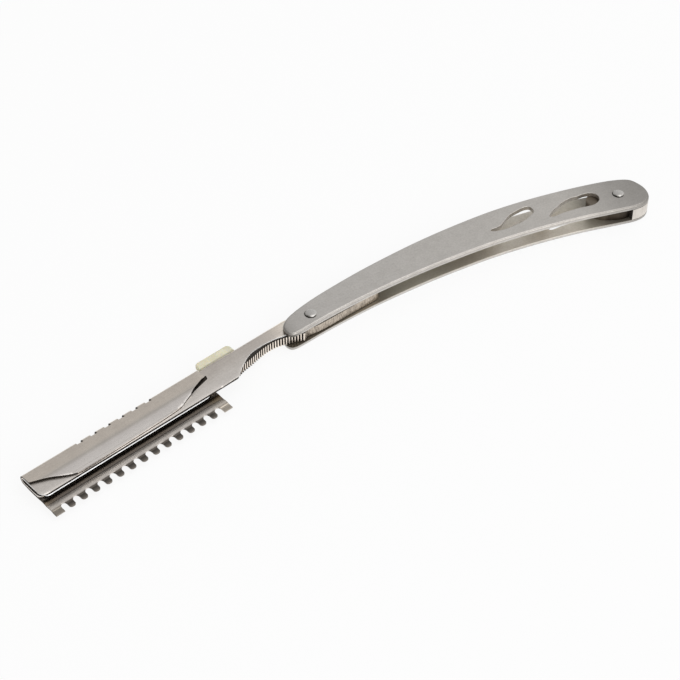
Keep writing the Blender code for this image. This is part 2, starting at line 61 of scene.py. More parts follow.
COUNTERSINK_DEPTH = 0.0006
REAR_RECESS = 0.0001
SHAFT_CLEARANCE = 0.0001
SEAT_GAP = 0.00005
SPACER_NOSE = 0.0113
SPACER_NOSE_HALF_WIDTH = 0.0065
SPACER_TILT = math.radians(13)
SPACER_WALL_START = 0.0006

# Head
HEAD_ANGLE = math.radians(11.9)
TANG_LENGTH = 0.0414
SLEEVE_SHEET = 0.0004
SLEEVE_DROP = 0.0047
SLEEVE_CROWN = 0.0059
SLEEVE_FRONT_HALF = 0.00095
SLEEVE_TANG_HALF = 0.00175
MOUTH_PINCH = 0.0002
MOUTH_DEPTH = 0.002
FOLD_END = 0.007
BAR_THICKNESS = 0.003
BAR_FAR_LIP = 0.0004
BAR_FRONT_GAP = 0.0098
BAR_HEIGHT = 0.0051
BAR_TAIL = 0.0256
RIB_DEPTH = 0.0004
RIB_COUNT = 28
GUARD_SHEET = 0.0004
GUARD_CLEARANCE = 0.0001
GUARD_ARCH = 0.0003
GUARD_FLANGE = 0.0043
GUARD_DROP = 0.0112
COMB_ROOT = 0.00845
COMB_OFFSET = 0.0018
COMB_BAND_OFFSET = 0.00152
COMB_CREASE_OFFSET = 0.00168
END_TOOTH_WIDTH = 0.0031
TOOTH_WIDTH = 0.0022
TOOTH_COUNT = 13
FIRST_TOOTH = 0.0051
LAST_TOOTH_END = 0.00545
TOOTH_CORNER = 0.0009
SLOT_COUNT = 6
SLOT_LENGTH = 0.0022
SLOT_PITCH = 0.00513
FIRST_SLOT = 0.0196
TAB_GAP = 0.0011
TAB_LENGTH = 0.0137
TAB_TOP = 0.00915
TAB_BASE = 0.005
TAB_THICKNESS = 0.0019
TAB_CORNER = 0.0014
TAB_FOOT_CORNER = 0.0004
TAB_EDGE_ROUND = 0.0006
TAB_CLEARANCE = 0.00015
TAB_SLOT_BASE = 0.0049
STEM_SET_BACK = 0.0014
STEM_LENGTH = 0.009
STEM_THICKNESS = 0.0011
SLIDER_TRAVEL = 0.005
SLIDER_STOP_GAP = 0.0005
FOOT_BASE = 0.0022
FOOT_HEIGHT = 0.0013
FOOT_THICKNESS = 0.0026
FOOT_SET_BACK = 0.0059
TONGUE_GAP = 0.0003
TONGUE_BASE = 0.0009
TONGUE_HEIGHT = 0.0024
TONGUE_THICKNESS = 0.0009
BLADE_LENGTH = 0.062
BLADE_FRONT_GAP = 0.0013
BLADE_REAR_GAP = 0.0026
BLADE_THICKNESS = 0.00025
BLADE_BACK = 0.0035
BLADE_EDGE = 0.00495
BLADE_GRIND = 0.00085
BLADE_HONE = 0.00065
BLADE_EDGE_THICKNESS = 0.00005
BLADE_CORNER = 0.0015

# Details of the finer pieces
GUARD_FEATHER = 0.0016
FEATHER_START_SHARE = 0.45
FAR_FLANGE_SHARES = (0.6, 0.2, -0.2)
CREASE_SHARE = 0.85
JOGGLE_SHARE = 0.35
MOUTH_EASE_SHARE = 0.4
RIVET_LIP_SHARE = 0.2
DOME_POWER = 0.85
TAB_CORNER_SHARE = 0.6
RIB_PROFILE_SHARES = ((0.02, 0.85), (0.08, 1), (0.3, 1), (0.36, 0.85), (0.46, 0.15),
                      (0.54, 0), (0.84, 0), (0.92, 0.15))
BLADE_CORNER_SHARES = ((0.0, 1.0), (0.12, 0.55), (0.3, 0.3), (0.6, 0.09), (1.0, 0.0))
GROOVE_DEPTH = 0.00028
GROOVE_POINTS = ((-0.0492, -0.0009), (-0.0464, -0.0001), (-0.0438, 0.00052),
                 (-0.0412, 0.00112), (-0.0407, 0.0025), (-0.0418, 0.0027),
                 (-0.0446, 0.0017), (-0.0475, 0.0005))
GROOVE_MARGIN = 0.0001
WINDOW_MARGIN_SHARES = (0.01, 0.05)
NEAR_SIDE = 0.0003

# Lengths and levels that follow from others
SCALES_TOP = 2 * SCALE_THICKNESS + SLOT_WIDTH
SLEEVE_FACE = SLEEVE_FRONT_HALF + SLEEVE_SHEET / 2
GUARD_LENGTH = BLADE_LENGTH + BLADE_FRONT_GAP + BLADE_REAR_GAP
HEAD_LENGTH = TANG_LENGTH + GUARD_LENGTH
BLADE_REAR = TANG_LENGTH + BLADE_REAR_GAP
BAR_LENGTH = TANG_LENGTH - BAR_FRONT_GAP
TAB_FRONT = TANG_LENGTH - TAB_GAP
STEM_FRONT = TAB_FRONT - STEM_SET_BACK
FOOT_FRONT = TAB_FRONT - FOOT_SET_BACK
TONGUE_TIP = BLADE_REAR - TONGUE_GAP

# Smoothness and small edge breaks of the finer pieces
LOOP_STEPS = 8
STATION_STEPS = 4
ROUND_STEPS = 72
FOLD_STEPS = 16
ROUND_EDGE_STEPS = 8
FLANGE_STEPS = 10
COMB_STEPS = 3
CORNER_STEPS = 12
WINDOW_EDGE_STEPS = 3
SHEET_EDGE_BREAK = 0.00007
SLEEVE_EDGE_BREAK = 0.00008
SHARP_ANGLE = math.radians(35)
BREAK_ANGLE = math.radians(50)
FLAT_FACE_WEIGHT = 80

# Outlines as shares of the rivet spacing and of the handle's rise
SCALE_OUTLINE_SHARES = (
    (-0.065, -0.385), (0.01, -0.28), (0.08, -0.19), (0.2, -0.072), (0.34, 0.0),
    (0.47, 0.016), (0.6, -0.019), (0.73, -0.128), (0.85, -0.287), (0.97, -0.507),
    (1.02, -0.584), (1.052, -0.545), (1.074, -0.39), (1.083, -0.14), (1.079, 0.105),
    (1.066, 0.32), (1.03, 0.483), (0.97, 0.626), (0.87, 0.79), (0.76, 0.92),
    (0.65, 0.99), (0.54, 0.99), (0.42, 0.94), (0.31, 0.846), (0.19, 0.703),
    (0.07, 0.507), (0.012, 0.385), (-0.033, 0.262), (-0.067, 0.126),
    (-0.087, -0.05), (-0.09, -0.224), (-0.082, -0.357),
)
FRONT_WINDOW_SHARES = (
    (0.6, 0.395), (0.621, 0.405), (0.639, 0.44), (0.658, 0.53), (0.682, 0.635),
    (0.708, 0.678), (0.731, 0.7), (0.747, 0.67), (0.752, 0.573), (0.748, 0.448),
    (0.732, 0.378), (0.703, 0.294), (0.672, 0.259), (0.638, 0.266), (0.609, 0.315),
)
REAR_WINDOW_SHARES = (
    (0.777, 0.11), (0.793, 0.238), (0.82, 0.336), (0.845, 0.406), (0.874, 0.434),
    (0.895, 0.41), (0.914, 0.406), (0.933, 0.357), (0.945, 0.245), (0.943, 0.098),
    (0.932, 0.007), (0.912, -0.035), (0.867, 0.035), (0.818, 0.077),
)
WINDOWS_SHARES = (FRONT_WINDOW_SHARES, REAR_WINDOW_SHARES)

# Sleeve stations: along the tang and then the guard, near edge, far edge, crown, widening
SLEEVE_STATION_SHARES = (
    (2.0, -0.5, -0.4, 1.0, 0.0), (1.995, -0.7, -0.54, 1.0, 0.0),
    (1.985, -0.87, -0.66, 1.0, 0.0), (1.969, -0.97, -0.7, 1.0, 0.0),
    (1.953, -1.0, -0.7, 1.0, 0.0), (1.772, -1.0, -0.7, 1.0, 0.0),
    (1.577, -1.0, -0.7, 1.0, 0.0), (1.381, -1.0, -0.7, 1.0, 0.0),
    (1.186, -1.0, -0.7, 1.0, 0.0), (1.056, -1.0, -0.7, 1.0, 0.0),
    (0.995, -1.0, -0.56, 0.995, 0.0), (0.949, -1.03, -0.4, 0.99, 0.15),
    (0.894, -1.09, -0.3, 0.98, 0.55), (0.855, -1.14, -0.3, 0.97, 0.85),
    (0.829, -1.15, -0.32, 0.965, 0.97), (0.809, -1.07, -0.36, 0.96, 1.0),
    (0.785, -0.87, -0.4, 0.955, 1.0), (0.749, -0.63, -0.4, 0.95, 1.0),
    (0.695, -0.35, -0.25, 0.945, 1.0), (0.638, -0.085, -0.03, 0.94, 1.0),
    (0.573, 0.1, 0.1, 0.935, 1.0), (0.492, 0.145, 0.145, 0.935, 1.0),
    (0.415, 0.12, 0.12, 0.935, 1.0), (0.345, 0.03, 0.03, 0.935, 1.0),
    (0.298, -0.085, -0.085, 0.935, 1.0), (0.241, -0.2, -0.2, 0.935, 1.0),
    (0.168, -0.34, -0.34, 0.93, 1.0), (0.086, -0.45, -0.45, 0.87, 1.0),
    (0.0, -0.5, -0.5, 0.8, 1.0), (-0.06, -0.44, -0.44, 0.72, 1.0),
    (-0.096, -0.25, -0.25, 0.64, 1.0),
)

# Near flange of the guard: along from the tip, and edge as a share of its depth
FLANGE_STATION_SHARES = (
    (0.0, 0.47), (0.04, 0.23), (0.09, -0.1), (0.13, -0.46), (0.165, -0.76), (0.2, -0.95),
    (0.24, -1.0), (0.36, -0.97), (0.48, -0.94), (0.6, -0.9), (0.72, -0.85), (0.77, -0.8),
    (0.805, -0.7), (0.845, -0.435), (0.883, -0.2), (0.907, 0.007), (0.951, 0.27), (1.0, 0.535),
)

# Tang bar edges: ribbed edge and spine edge forward of the step, and the tail
RIBBED_EDGE_SHARES = (
    (-1.0, -0.47), (-0.92, -0.33), (-0.79, -0.2), (-0.67, -0.065), (-0.56, -0.005),
    (-0.47, -0.04), (-0.4, -0.15), (-0.34, -0.26), (-0.265, -0.43), (-0.175, -0.7),
)
TAIL_EDGE_SHARES = (
    (-0.145, -0.53), (0.03, -0.7), (0.35, -0.78), (0.68, -0.84), (0.93, -0.9),
    (0.99, -0.84), (1.0, -0.74), (0.93, -0.6), (0.75, -0.2), (0.5, 0.3), (0.25, 0.72),
    (0.1, 0.87),
)
BAR_SPINE_SHARES = (0.74, 0.12, 0.02)

# Where faces and the painted light, shade and tones begin and end, from each piece's own origin
CUT_TILT = 0.85
FACE_TILT = 0.7
END_TILT = 0.6
BREAK_TILT = 0.5
TIP_TILT = 0.4
WALL_TILT = 0.35
INWARD_TILT = 0.3
FLUSH_TILT = 0.25
GROUND_TILT = 0.15
GROOVE_DEPTH_SHARES = (0.15, 1.05)
RIBS_END_SHARE = 0.16
RIB_FACE_SHARE = 0.4
TIP_SHARE = 0.9
NECK_START_SHARE = 0.82
FLUSH_EDGE = (-HEAD_LENGTH * 0.875, -TANG_LENGTH * 1.19)
REAR_BREAK = -TANG_LENGTH * 1.33
RIBS_BELOW = 0.0009
BANDS_TOP = -0.004
BANDS_BLEND = (-0.0045, -0.0041)
REAR_END = (-TANG_LENGTH - 0.0062, -TANG_LENGTH - 0.0028)
TIP_END = (-HEAD_LENGTH + 0.0044, -HEAD_LENGTH + 0.003)
BLADE_SHADOW_LINE = (-0.005, -0.003)
CHEEK_SHADOW_LINE = 0.0008
CHEEK_CORNER_SHARE = 0.83
CHEEK_DROP_SHARE = 1.15
NECK = (-0.02, -0.006)
PLATE = (-0.071, 0.0695)
PLATE_RIM = (0.0064, 0.0074)
PLATE_TOP = (0.0072, 0.0073)
BETWEEN_PLATES = 0.003
NOSE = (-0.0692, -0.0655)
NOSE_SIDE = (0.0066, 0.0069)
SLOT = (-0.07, 0.07)
RING = (0.00218, 0.00196)
DOME = (-0.0018, 0.0018)
LOWER_LEFT = (-0.87, -0.49, 0)
SPACER_WALL = RIVET_SPACING + SPACER_WALL_START - REST_ALONG
SPACER = (SPACER_WALL - 0.0145, SPACER_WALL + 0.0002)
TAIL_START = (-0.0036, -0.0034)
TAIL_FACE = (0.00142, 0.00147)
LINE_BLUR = (-0.0001, 0.0001)
TAB_DARK_BAND = 0.0005

# Painted shadow lines of the tang: from and to along it, and their heights there
TOP_SHADOW_LINE = (-0.012, -0.003, 0.00125, 0.0011)
FOOT_SHADOW_LINE = (-BAR_LENGTH, -0.016, -0.0012, -0.0021)

# Grain of the materials, in features per metre
CLOUDS = 260.0
PITS = 1500.0
CROSS_GRAIN = (2600, 400, 900)
PLASTIC_CLOUDS = 420.0
PLASTIC_GRAIN = 5200.0

# Part of each noise that runs from the first tone to the last, and other looks
NOISE_SPAN = (0.36, 0.64)
CROSS_SPAN = (0.38, 0.62)
PLASTIC_CLOUD_SPAN = (0.35, 0.65)
PLASTIC_GRAIN_SPAN = (0.3, 0.7)
ROUGHNESS_SPREAD = 0.05
LIGHT_DEPTH = 0.0012
MICRON = 0.000001

# Room and light
FLOOR_HALF = 6.0
FLOOR_GAP = 0.0001
FLOOR_GLOW_SHARE = 0.86
SOFTBOX_SIZE = 0.7
SOFTBOX_DISTANCE = 1.1
BRIGHT_RIGHT = 0.85
BRIGHT_BEHIND = 0.53
ROOM_SHADES = ((0.0, 0.5), (0.35, 0.6), (0.55, 0.72), (0.75, 0.95), (1.0, 1.1))

# View
NEAREST_SEEN = 0.01
VIEW_ELEVATION = math.radians(44)
VIEW_TURN = math.radians(29.83)
VIEW_DISTANCE = 0.6
VIEW_TARGET = (-0.05789, -0.02205, 0.0074)
FOCAL_PIXELS = 1920
IMAGE_PIXELS = 680
SENSOR_WIDTH = 36


def object_from(name, shape):
    """Turn a bmesh into an object with its faces pointing out."""
    bmesh.ops.recalc_face_normals(shape, faces=shape.faces)
    mesh = bpy.data.meshes.new(name)
    shape.to_mesh(mesh)
    shape.free()
    item = bpy.data.objects.new(name, mesh)
    bpy.context.collection.objects.link(item)
    return item


def apply_modifiers(item):
    bpy.context.view_layer.update()
    shown = item.evaluated_get(bpy.context.evaluated_depsgraph_get())
    mesh = bpy.data.meshes.new_from_object(shown)
    item.modifiers.clear()
    item.data = mesh


def combine(item, tool, operation="DIFFERENCE"):
    """Cut the tool out of a piece, or join them another way, and drop the tool."""
    step = item.modifiers.new("Combine", "BOOLEAN")
    step.operation = operation
    step.solver = "EXACT"
    step.object = tool
    apply_modifiers(item)
    bpy.data.objects.remove(tool, do_unlink=True)


def unit(vector):
    length = np.linalg.norm(vector)
    return vector / length if length else vector


def turns(steps, start=0, sweep=90):
    """Angles from the start over the sweep, both in degrees, in equal steps."""
    return [math.radians(start + sweep * index / steps) for index in range(steps + 1)]


def rounded_edge(radius, steps):
    """Inset and drop of points on a quarter round, from its side to its face."""
    return [(radius * (1 - math.cos(turn)), radius * (1 - math.sin(turn)))
            for turn in turns(steps)]


def at_level(loop, z):
    """Points of a flat loop at one height."""
    return [(point[0], point[1], z) for point in loop]


def left_of(along):
    return np.array((-along[1], along[0]))


def smooth_path(points, steps, closed=True):
    """Curve through points of any dimension, with equal steps between neighbours."""
    points = [np.array(point, float) for point in points]
    count = len(points)
    path = []
    for index in range(count if closed else count - 1):
        start = points[index]
        end = points[(index + 1) % count]
        before = points[index - 1] if closed or index else start
        after = points[(index + 2) % count] if closed or index + 2 < count else end
        reach = np.linalg.norm(end - start) / 3
        leave = start + unit(end - before) * reach
        arrive = end - unit(after - start) * reach
        for step in range(steps):
            done = step / steps
            left = 1 - done
            path.append(left ** 3 * start + 3 * left ** 2 * done * leave
                        + 3 * left * done ** 2 * arrive + done ** 3 * end)
    if not closed:
        path.append(points[-1])
    return path


def offset_loop(loop, distance):
    """Move a closed loop outward by the distance, or inward when it is negative."""
    moved = []
    area = sum(a[0] * b[1] - b[0] * a[1] for a, b in zip(loop, loop[1:] + loop[:1]))
    side = 1 if area > 0 else -1
    for index, point in enumerate(loop):
        along = unit(loop[(index + 1) % len(loop)] - loop[index - 1])
        moved.append(point - left_of(along) * distance * side)
    return moved


def add_rings(shape, rings):
    """Add the faces of one loft to a shape."""
    rows = [[shape.verts.new(point) for point in ring] for ring in rings]
    for low, high in zip(rows, rows[1:]):
        for index in range(len(low)):
            after = (index + 1) % len(low)
            shape.faces.new((low[index], low[after], high[after], high[index]))
    shape.faces.new(rows[0])
    shape.faces.new(rows[-1])


def loft(name, rings):
    """Closed solid through rings of equal point counts."""
    shape = bmesh.new()
    add_rings(shape, rings)
    return object_from(name, shape)


def prism(name, loop, low, high):
    return loft(name, [at_level(loop, low), at_level(loop, high)])


def box(name, left, right, back, front, low, high):
    corners = ((left, back), (right, back), (right, front), (left, front))
    return prism(name, corners, low, high)


def turned(name, profile, along):
    """Solid of revolution about an upright axis from radius and height pairs."""
    shape = bmesh.new()
    points = [shape.verts.new((radius, 0, height)) for radius, height in profile]
    edges = [shape.edges.new(pair) for pair in zip(points, points[1:])]
    bmesh.ops.spin(
        shape, geom=points + edges, cent=(0, 0, 0), axis=(0, 0, 1),
        angle=math.tau, steps=ROUND_STEPS, use_merge=True, use_duplicate=False,
    )
    bmesh.ops.remove_doubles(shape, verts=shape.verts, dist=SEAT_GAP / 10)
    bmesh.ops.translate(shape, verts=shape.verts, vec=(along, 0, 0))
    return object_from(name, shape)


def sheet(name, rows, thickness):
    """Grid of points made into sheet metal."""
    shape = bmesh.new()
    grid = [[shape.verts.new(point) for point in row] for row in rows]
    for low, high in zip(grid, grid[1:]):
        for index in range(len(low) - 1):
            shape.faces.new((low[index], low[index + 1], high[index + 1], high[index]))
    item = object_from(name, shape)
    step = item.modifiers.new("Sheet", "SOLIDIFY")
    step.thickness = thickness
    step.offset = 0
    step.use_even_offset = True
    apply_modifiers(item)
    return item


def break_edges(item, width):
    """Small rounds on the sharp edges, so that they catch the light."""
    step = item.modifiers.new("Edges", "BEVEL")
    step.width = width
    step.segments = 2
    step.limit_method = "ANGLE"
    step.angle_limit = BREAK_ANGLE
    step.use_clamp_overlap = True
    apply_modifiers(item)


def finish(item, *materials):
    """Give a piece its materials and clean shading."""
    item.data.materials.clear()
    for material in materials:
        item.data.materials.append(material)
    item.data.shade_smooth()
    item.data.set_sharp_from_angle(angle=SHARP_ANGLE)
    step = item.modifiers.new("Shading", "WEIGHTED_NORMAL")
    step.keep_sharp = True
    step.weight = FLAT_FACE_WEIGHT


def mark(item, slot, rule):
    """Give a material slot to the faces whose centre and normal fit the rule."""
    for face in item.data.polygons:
        if rule(face.center, face.normal):
            face.material_index = slot


def dress(item, node, body):
    """Put a finished piece on its body in place of the solid."""
    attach(item, body)
    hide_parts(node)


def handle_loop(shares):
    points = [(along * RIVET_SPACING, across * HANDLE_RISE) for along, across in shares]
    return smooth_path(points, LOOP_STEPS)


def place_handle(item):
    """Move a piece drawn from the pivot so the rest point is the origin."""
    item.data.transform(Matrix.Translation((-REST_ALONG, -REST_ACROSS, 0)))
    item.data.update()


def place_head(item):
    """Set the piece's origin on the pivot and turn it to the head's angle."""
    move = Matrix.Translation((-REST_ALONG, -REST_ACROSS, SCALES_TOP / 2))
    item.matrix_world = move @ Matrix.Rotation(HEAD_ANGLE, 4, "Z")


def window_tool(shares, inner, outer):
    """Cutter for a leaf window that rounds its rim on the outer face."""
    loop = handle_loop(shares)
    side = math.copysign(1, outer - inner)
    past = side * SCALE_THICKNESS
    rings = [at_level(loop, inner - past)]
    for inset, drop in rounded_edge(WINDOW_EDGE_BREAK, WINDOW_EDGE_STEPS):
        wide = offset_loop(loop, inset)
        rings.append(at_level(wide, outer - side * drop))
    rings.append(at_level(wide, outer + past))
    return loft("window_tool", rings)


def make_scale(name, inner, outer):
    """Plate with a rounded outer rim, a broken inner rim, two windows and rivet holes."""
    loop = handle_loop(SCALE_OUTLINE_SHARES)
    side = math.copysign(1, outer - inner)
    rings = [at_level(offset_loop(loop, -INNER_EDGE_BREAK), inner),
             at_level(loop, inner + side * INNER_EDGE_BREAK)]
    for inset, drop in rounded_edge(SCALE_EDGE_ROUND, ROUND_EDGE_STEPS):
        rings.append(at_level(offset_loop(loop, -inset), outer - side * drop))
    item = loft(name, rings)
    for shares in WINDOWS_SHARES:
        combine(item, window_tool(shares, inner, outer))
    return drill_handle(item, 0, RIVET_SPACING)


def hole_profile():
    """Radius and height pairs of a rivet's hole through both scales."""
    top = SCALES_TOP + SEAT_GAP
    shaft = RIVET_SHAFT_RADIUS + SHAFT_CLEARANCE
    rear = RIVET_HEAD_RADIUS + SHAFT_CLEARANCE
    cone_end = REAR_RECESS + COUNTERSINK_DEPTH + SHAFT_CLEARANCE
    past = top + SCALE_THICKNESS
    return ((0, -SCALE_THICKNESS), (rear, -SCALE_THICKNESS), (rear, REAR_RECESS),
            (shaft, cone_end), (shaft, past), (0, past))


def drill_handle(item, *places):
    """Cut the rivet holes at places along the handle."""
    for along in places:
        combine(item, turned("hole_tool", hole_profile(), along))
    return item


def make_rivet(name, along):
    """Pin with a peened dome above the near scale and a flush rear end."""
    top = SCALES_TOP + SEAT_GAP
    rear = RIVET_HEAD_RADIUS
    shaft = RIVET_SHAFT_RADIUS
    lip = RIVET_HEAD_HEIGHT * RIVET_LIP_SHARE
    points = [(0, REAR_RECESS), (rear - lip, REAR_RECESS), (rear, REAR_RECESS + lip / 2),
              (shaft, REAR_RECESS + COUNTERSINK_DEPTH), (shaft, top), (rear - lip, top)]
    points += [(rear * math.cos(turn) ** DOME_POWER,
                top + lip + (RIVET_HEAD_HEIGHT - lip) * math.sin(turn))
               for turn in turns(CORNER_STEPS)[:-1]]
    return turned(name, points + [(0, top + RIVET_HEAD_HEIGHT)], along)


def make_spacer():
    """Block that fills the slot at the tail, with a rounded nose."""
    low = SCALE_THICKNESS + SEAT_GAP
    high = SCALE_THICKNESS + SLOT_WIDTH - SEAT_GAP
    item = prism("spacer_block", handle_loop(SCALE_OUTLINE_SHARES), low, high)
    wall = RIVET_SPACING + SPACER_WALL_START
    reach = 2 * SPACER_NOSE
    nose = []
    for turn in turns(2 * FOLD_STEPS, 90, 180):
        along = SPACER_NOSE * math.cos(turn)
        across = SPACER_NOSE_HALF_WIDTH * math.sin(turn)
        nose.append((
            RIVET_SPACING + along * math.cos(SPACER_TILT) + across * math.sin(SPACER_TILT),
            across * math.cos(SPACER_TILT) - along * math.sin(SPACER_TILT),
        ))
    nose += [(wall, nose[-1][1]), (wall, -reach), (wall + reach, -reach),
             (wall + reach, reach), (nose[0][0], reach)]
    combine(item, prism("nose_tool", nose, 0, high + low), "INTERSECT")
    return drill_handle(item, RIVET_SPACING)


def point_along(path, distance):
    """Point on the path at the distance, and the direction to its left."""
    for start, end in zip(path, path[1:]):
        length = np.linalg.norm(end - start)
        if distance <= length:
            along = (end - start) / length
            return start + along * distance, left_of(along)
        distance -= length
    return path[-1], left_of(unit(path[-1] - path[-2]))


def ribbed_edge():
    """Smooth line through the floors of the rib notches."""
    points = [(along * BAR_LENGTH, up * BAR_HEIGHT) for along, up in RIBBED_EDGE_SHARES]
    return smooth_path(points, LOOP_STEPS * 2, False)


def bar_loop():
    """Outline of the tang bar with ribs along its thumb edge."""
    def local(shares, length):
        return [np.array((along * length, up * BAR_HEIGHT)) for along, up in shares]
    ribbed = ribbed_edge()
    total = sum(np.linalg.norm(b - a) for a, b in zip(ribbed, ribbed[1:]))
    loop = []
    for index in range(RIB_COUNT):
        for share, deep in RIB_PROFILE_SHARES:
            point, normal = point_along(ribbed, total * (index + share) / RIB_COUNT)
            loop.append(point + normal * RIB_DEPTH * deep)
    loop.append(ribbed[-1])
    tail = smooth_path(local(TAIL_EDGE_SHARES, BAR_TAIL), LOOP_STEPS // 2, False)
    return loop + tail + bar_front()


def bar_front():
    """Spine edge of the bar, with a step that stops the slider."""
    high, low, tip = (share * BAR_HEIGHT for share in BAR_SPINE_SHARES)
    step = SLIDER_TRAVEL + STEM_LENGTH - STEM_FRONT + SLIDER_STOP_GAP
    corners = ((-FOLD_END, high), (step, high), (step, low), (-BAR_LENGTH, tip))
    return [np.array(point) for point in corners]


def drill_pivot(item):
    """Cut the pivot hole through a piece of the head."""
    radius = RIVET_SHAFT_RADIUS + SHAFT_CLEARANCE
    profile = ((0, -SLOT_WIDTH), (radius, -SLOT_WIDTH), (radius, SLOT_WIDTH), (0, SLOT_WIDTH))
    combine(item, turned("pivot_tool", profile, 0))


def make_bar():
    half = BAR_THICKNESS / 2
    item = prism("tang_strip", bar_loop(), -half - BAR_FAR_LIP, half)
    drill_pivot(item)
    break_edges(item, SHEET_EDGE_BREAK)
    return item


def fold_arc(base, crown, half):
    """Points over the spine from the near side to the far side."""
    return [(base + (crown - base) * math.sin(turn), half * math.cos(turn))
            for turn in turns(FOLD_STEPS, 0, 180)]


def make_sleeve():
    """Sheet folded over the spine, pinched at its mouth, with a shorter far side."""
    stations = [(-TANG_LENGTH * min(along, 1) - GUARD_LENGTH * max(along - 1, 0),
                 low * SLEEVE_DROP, far_low * SLEEVE_DROP, crown * SLEEVE_CROWN,
                 widen * SLEEVE_CROWN)
                for along, low, far_low, crown, widen in SLEEVE_STATION_SHARES]
    rows = []
    for u, edge, far_edge, top, widen in smooth_path(stations, STATION_STEPS, False):
        widen = min(1.0, max(0.0, widen / SLEEVE_CROWN))
        half = SLEEVE_FRONT_HALF + (SLEEVE_TANG_HALF - SLEEVE_FRONT_HALF) * widen
        pinch = MOUTH_PINCH * (1 - widen)
        base = top - half
        knee = min(edge + MOUTH_DEPTH, (edge + base) / 2)
        far_knee = min(far_edge + MOUTH_DEPTH, (far_edge + base) / 2)
        near = [(edge, half - pinch), ((edge + knee) / 2, half - pinch * MOUTH_EASE_SHARE),
                (knee, half)]
        far = [(far_knee, -half), (far_edge, pinch - half)]
        section = near + fold_arc(base, top, half) + far
        rows.append([(u, v, z) for v, z in section])
    item = sheet("sleeve_sheet", rows, SLEEVE_SHEET)
    open_end = SLEEVE_TANG_HALF - SLEEVE_SHEET / 4
    combine(item, box("fold_tool", -FOLD_END, HEAD_LENGTH, SLEEVE_CROWN / 3,
                      SLEEVE_CROWN * 2, -open_end, open_end))
    slot_half = TAB_THICKNESS / 2 + TAB_CLEARANCE
    slot_start = -TAB_FRONT - TAB_CLEARANCE
    slot_end = -TAB_FRONT + TAB_LENGTH + SLIDER_TRAVEL + TAB_CLEARANCE
    combine(item, box("slot_tool", slot_start, slot_end, TAB_SLOT_BASE,
                      SLEEVE_CROWN * 2, -slot_half, slot_half))
    drill_pivot(item)
    combine(item, prism("groove_tool", GROOVE_POINTS, SLEEVE_FACE - GROOVE_DEPTH, SLOT_WIDTH))
    break_edges(item, SLEEVE_EDGE_BREAK)
    return item


def within(spot, outline, margins):
    """Whether a spot lies in the box around an outline, widened by the margins."""
    return all(min(values) - margin < place < max(values) + margin
               for place, values, margin in zip(spot, zip(*outline), margins))


def in_groove(centre, normal):
    """Faces of the tapered recess behind the guard's flange, painted in shade."""
    depth = SLEEVE_FACE - centre.z
    low, high = (share * GROOVE_DEPTH for share in GROOVE_DEPTH_SHARES)
    inside = within((centre.x, centre.y), GROOVE_POINTS, (GROOVE_MARGIN, GROOVE_MARGIN))
    return inside and low < depth < high


def on_edge(centre, normal):
    """Cut edge of a folded sheet's near side."""
    return centre.z > NEAR_SIDE and centre.y < GUARD_FLANGE and abs(normal.z) < CUT_TILT


def bright_edge(centre, normal):
    """Edge along the tang and at the tip, and the break between the cheek and its edge, painted as
    a highlight.
    """
    tip = normal.x < -TIP_TILT and centre.x < -HEAD_LENGTH * TIP_SHARE
    ends = centre.x > -TANG_LENGTH * NECK_START_SHARE or tip
    return on_edge(centre, normal) and (ends or normal.z > BREAK_TILT)


# Near-side cut edges that are not bright, painted in shade.
def dark_edge(centre, normal):
    return on_edge(centre, normal) and not bright_edge(centre, normal)


def flush_edge(centre, normal):
    """Middle of the flange's edge, which lies close on the sleeve."""
    return on_edge(centre, normal) and FLUSH_EDGE[0] < centre.x < FLUSH_EDGE[1]


# Part of the flange's edge that takes a painted highlight.
def bright_break(centre, normal):
    wide = normal.z > FLUSH_TILT or centre.x > REAR_BREAK
    return flush_edge(centre, normal) and wide


def raised_edge(centre, normal):
    """Rest of the flange's edge, and the guard's end at the tip, painted in shade."""
    tip = normal.x < -END_TILT and centre.x < -HEAD_LENGTH + GUARD_SHEET
    return tip or on_edge(centre, normal) and not flush_edge(centre, normal)


def looks_inward(centre, normal):
    """Faces on the inside of a folded sheet, painted in shade."""
    out = Vector((0, max(0.0, centre.y - SLEEVE_CROWN + SLEEVE_TANG_HALF), centre.z))
    return centre.y > -GUARD_FLANGE and normal.dot(out) < -INWARD_TILT * out.length


def arch(v, base):
    """How far the flange stands off, from none at the fold to full at the middle."""
    share = (base - v) / (base + GUARD_FLANGE)
    return max(0.0, math.sin(math.pi * min(share, 1.0)))


def comb_section(half):
    """Far flange below the blade: crease, light band, joggle and teeth."""
    crease = (GUARD_FLANGE + COMB_ROOT) / 2
    knee = COMB_ROOT + (GUARD_DROP - COMB_ROOT) * JOGGLE_SHARE
    points = [(-crease * CREASE_SHARE, -half - GUARD_ARCH / 2), (-crease, -COMB_CREASE_OFFSET),
              (-COMB_ROOT, -COMB_BAND_OFFSET), (-knee, -COMB_OFFSET),
              (-GUARD_DROP, -COMB_OFFSET)]
    return [tuple(point) for point in smooth_path(points, COMB_STEPS, False)]


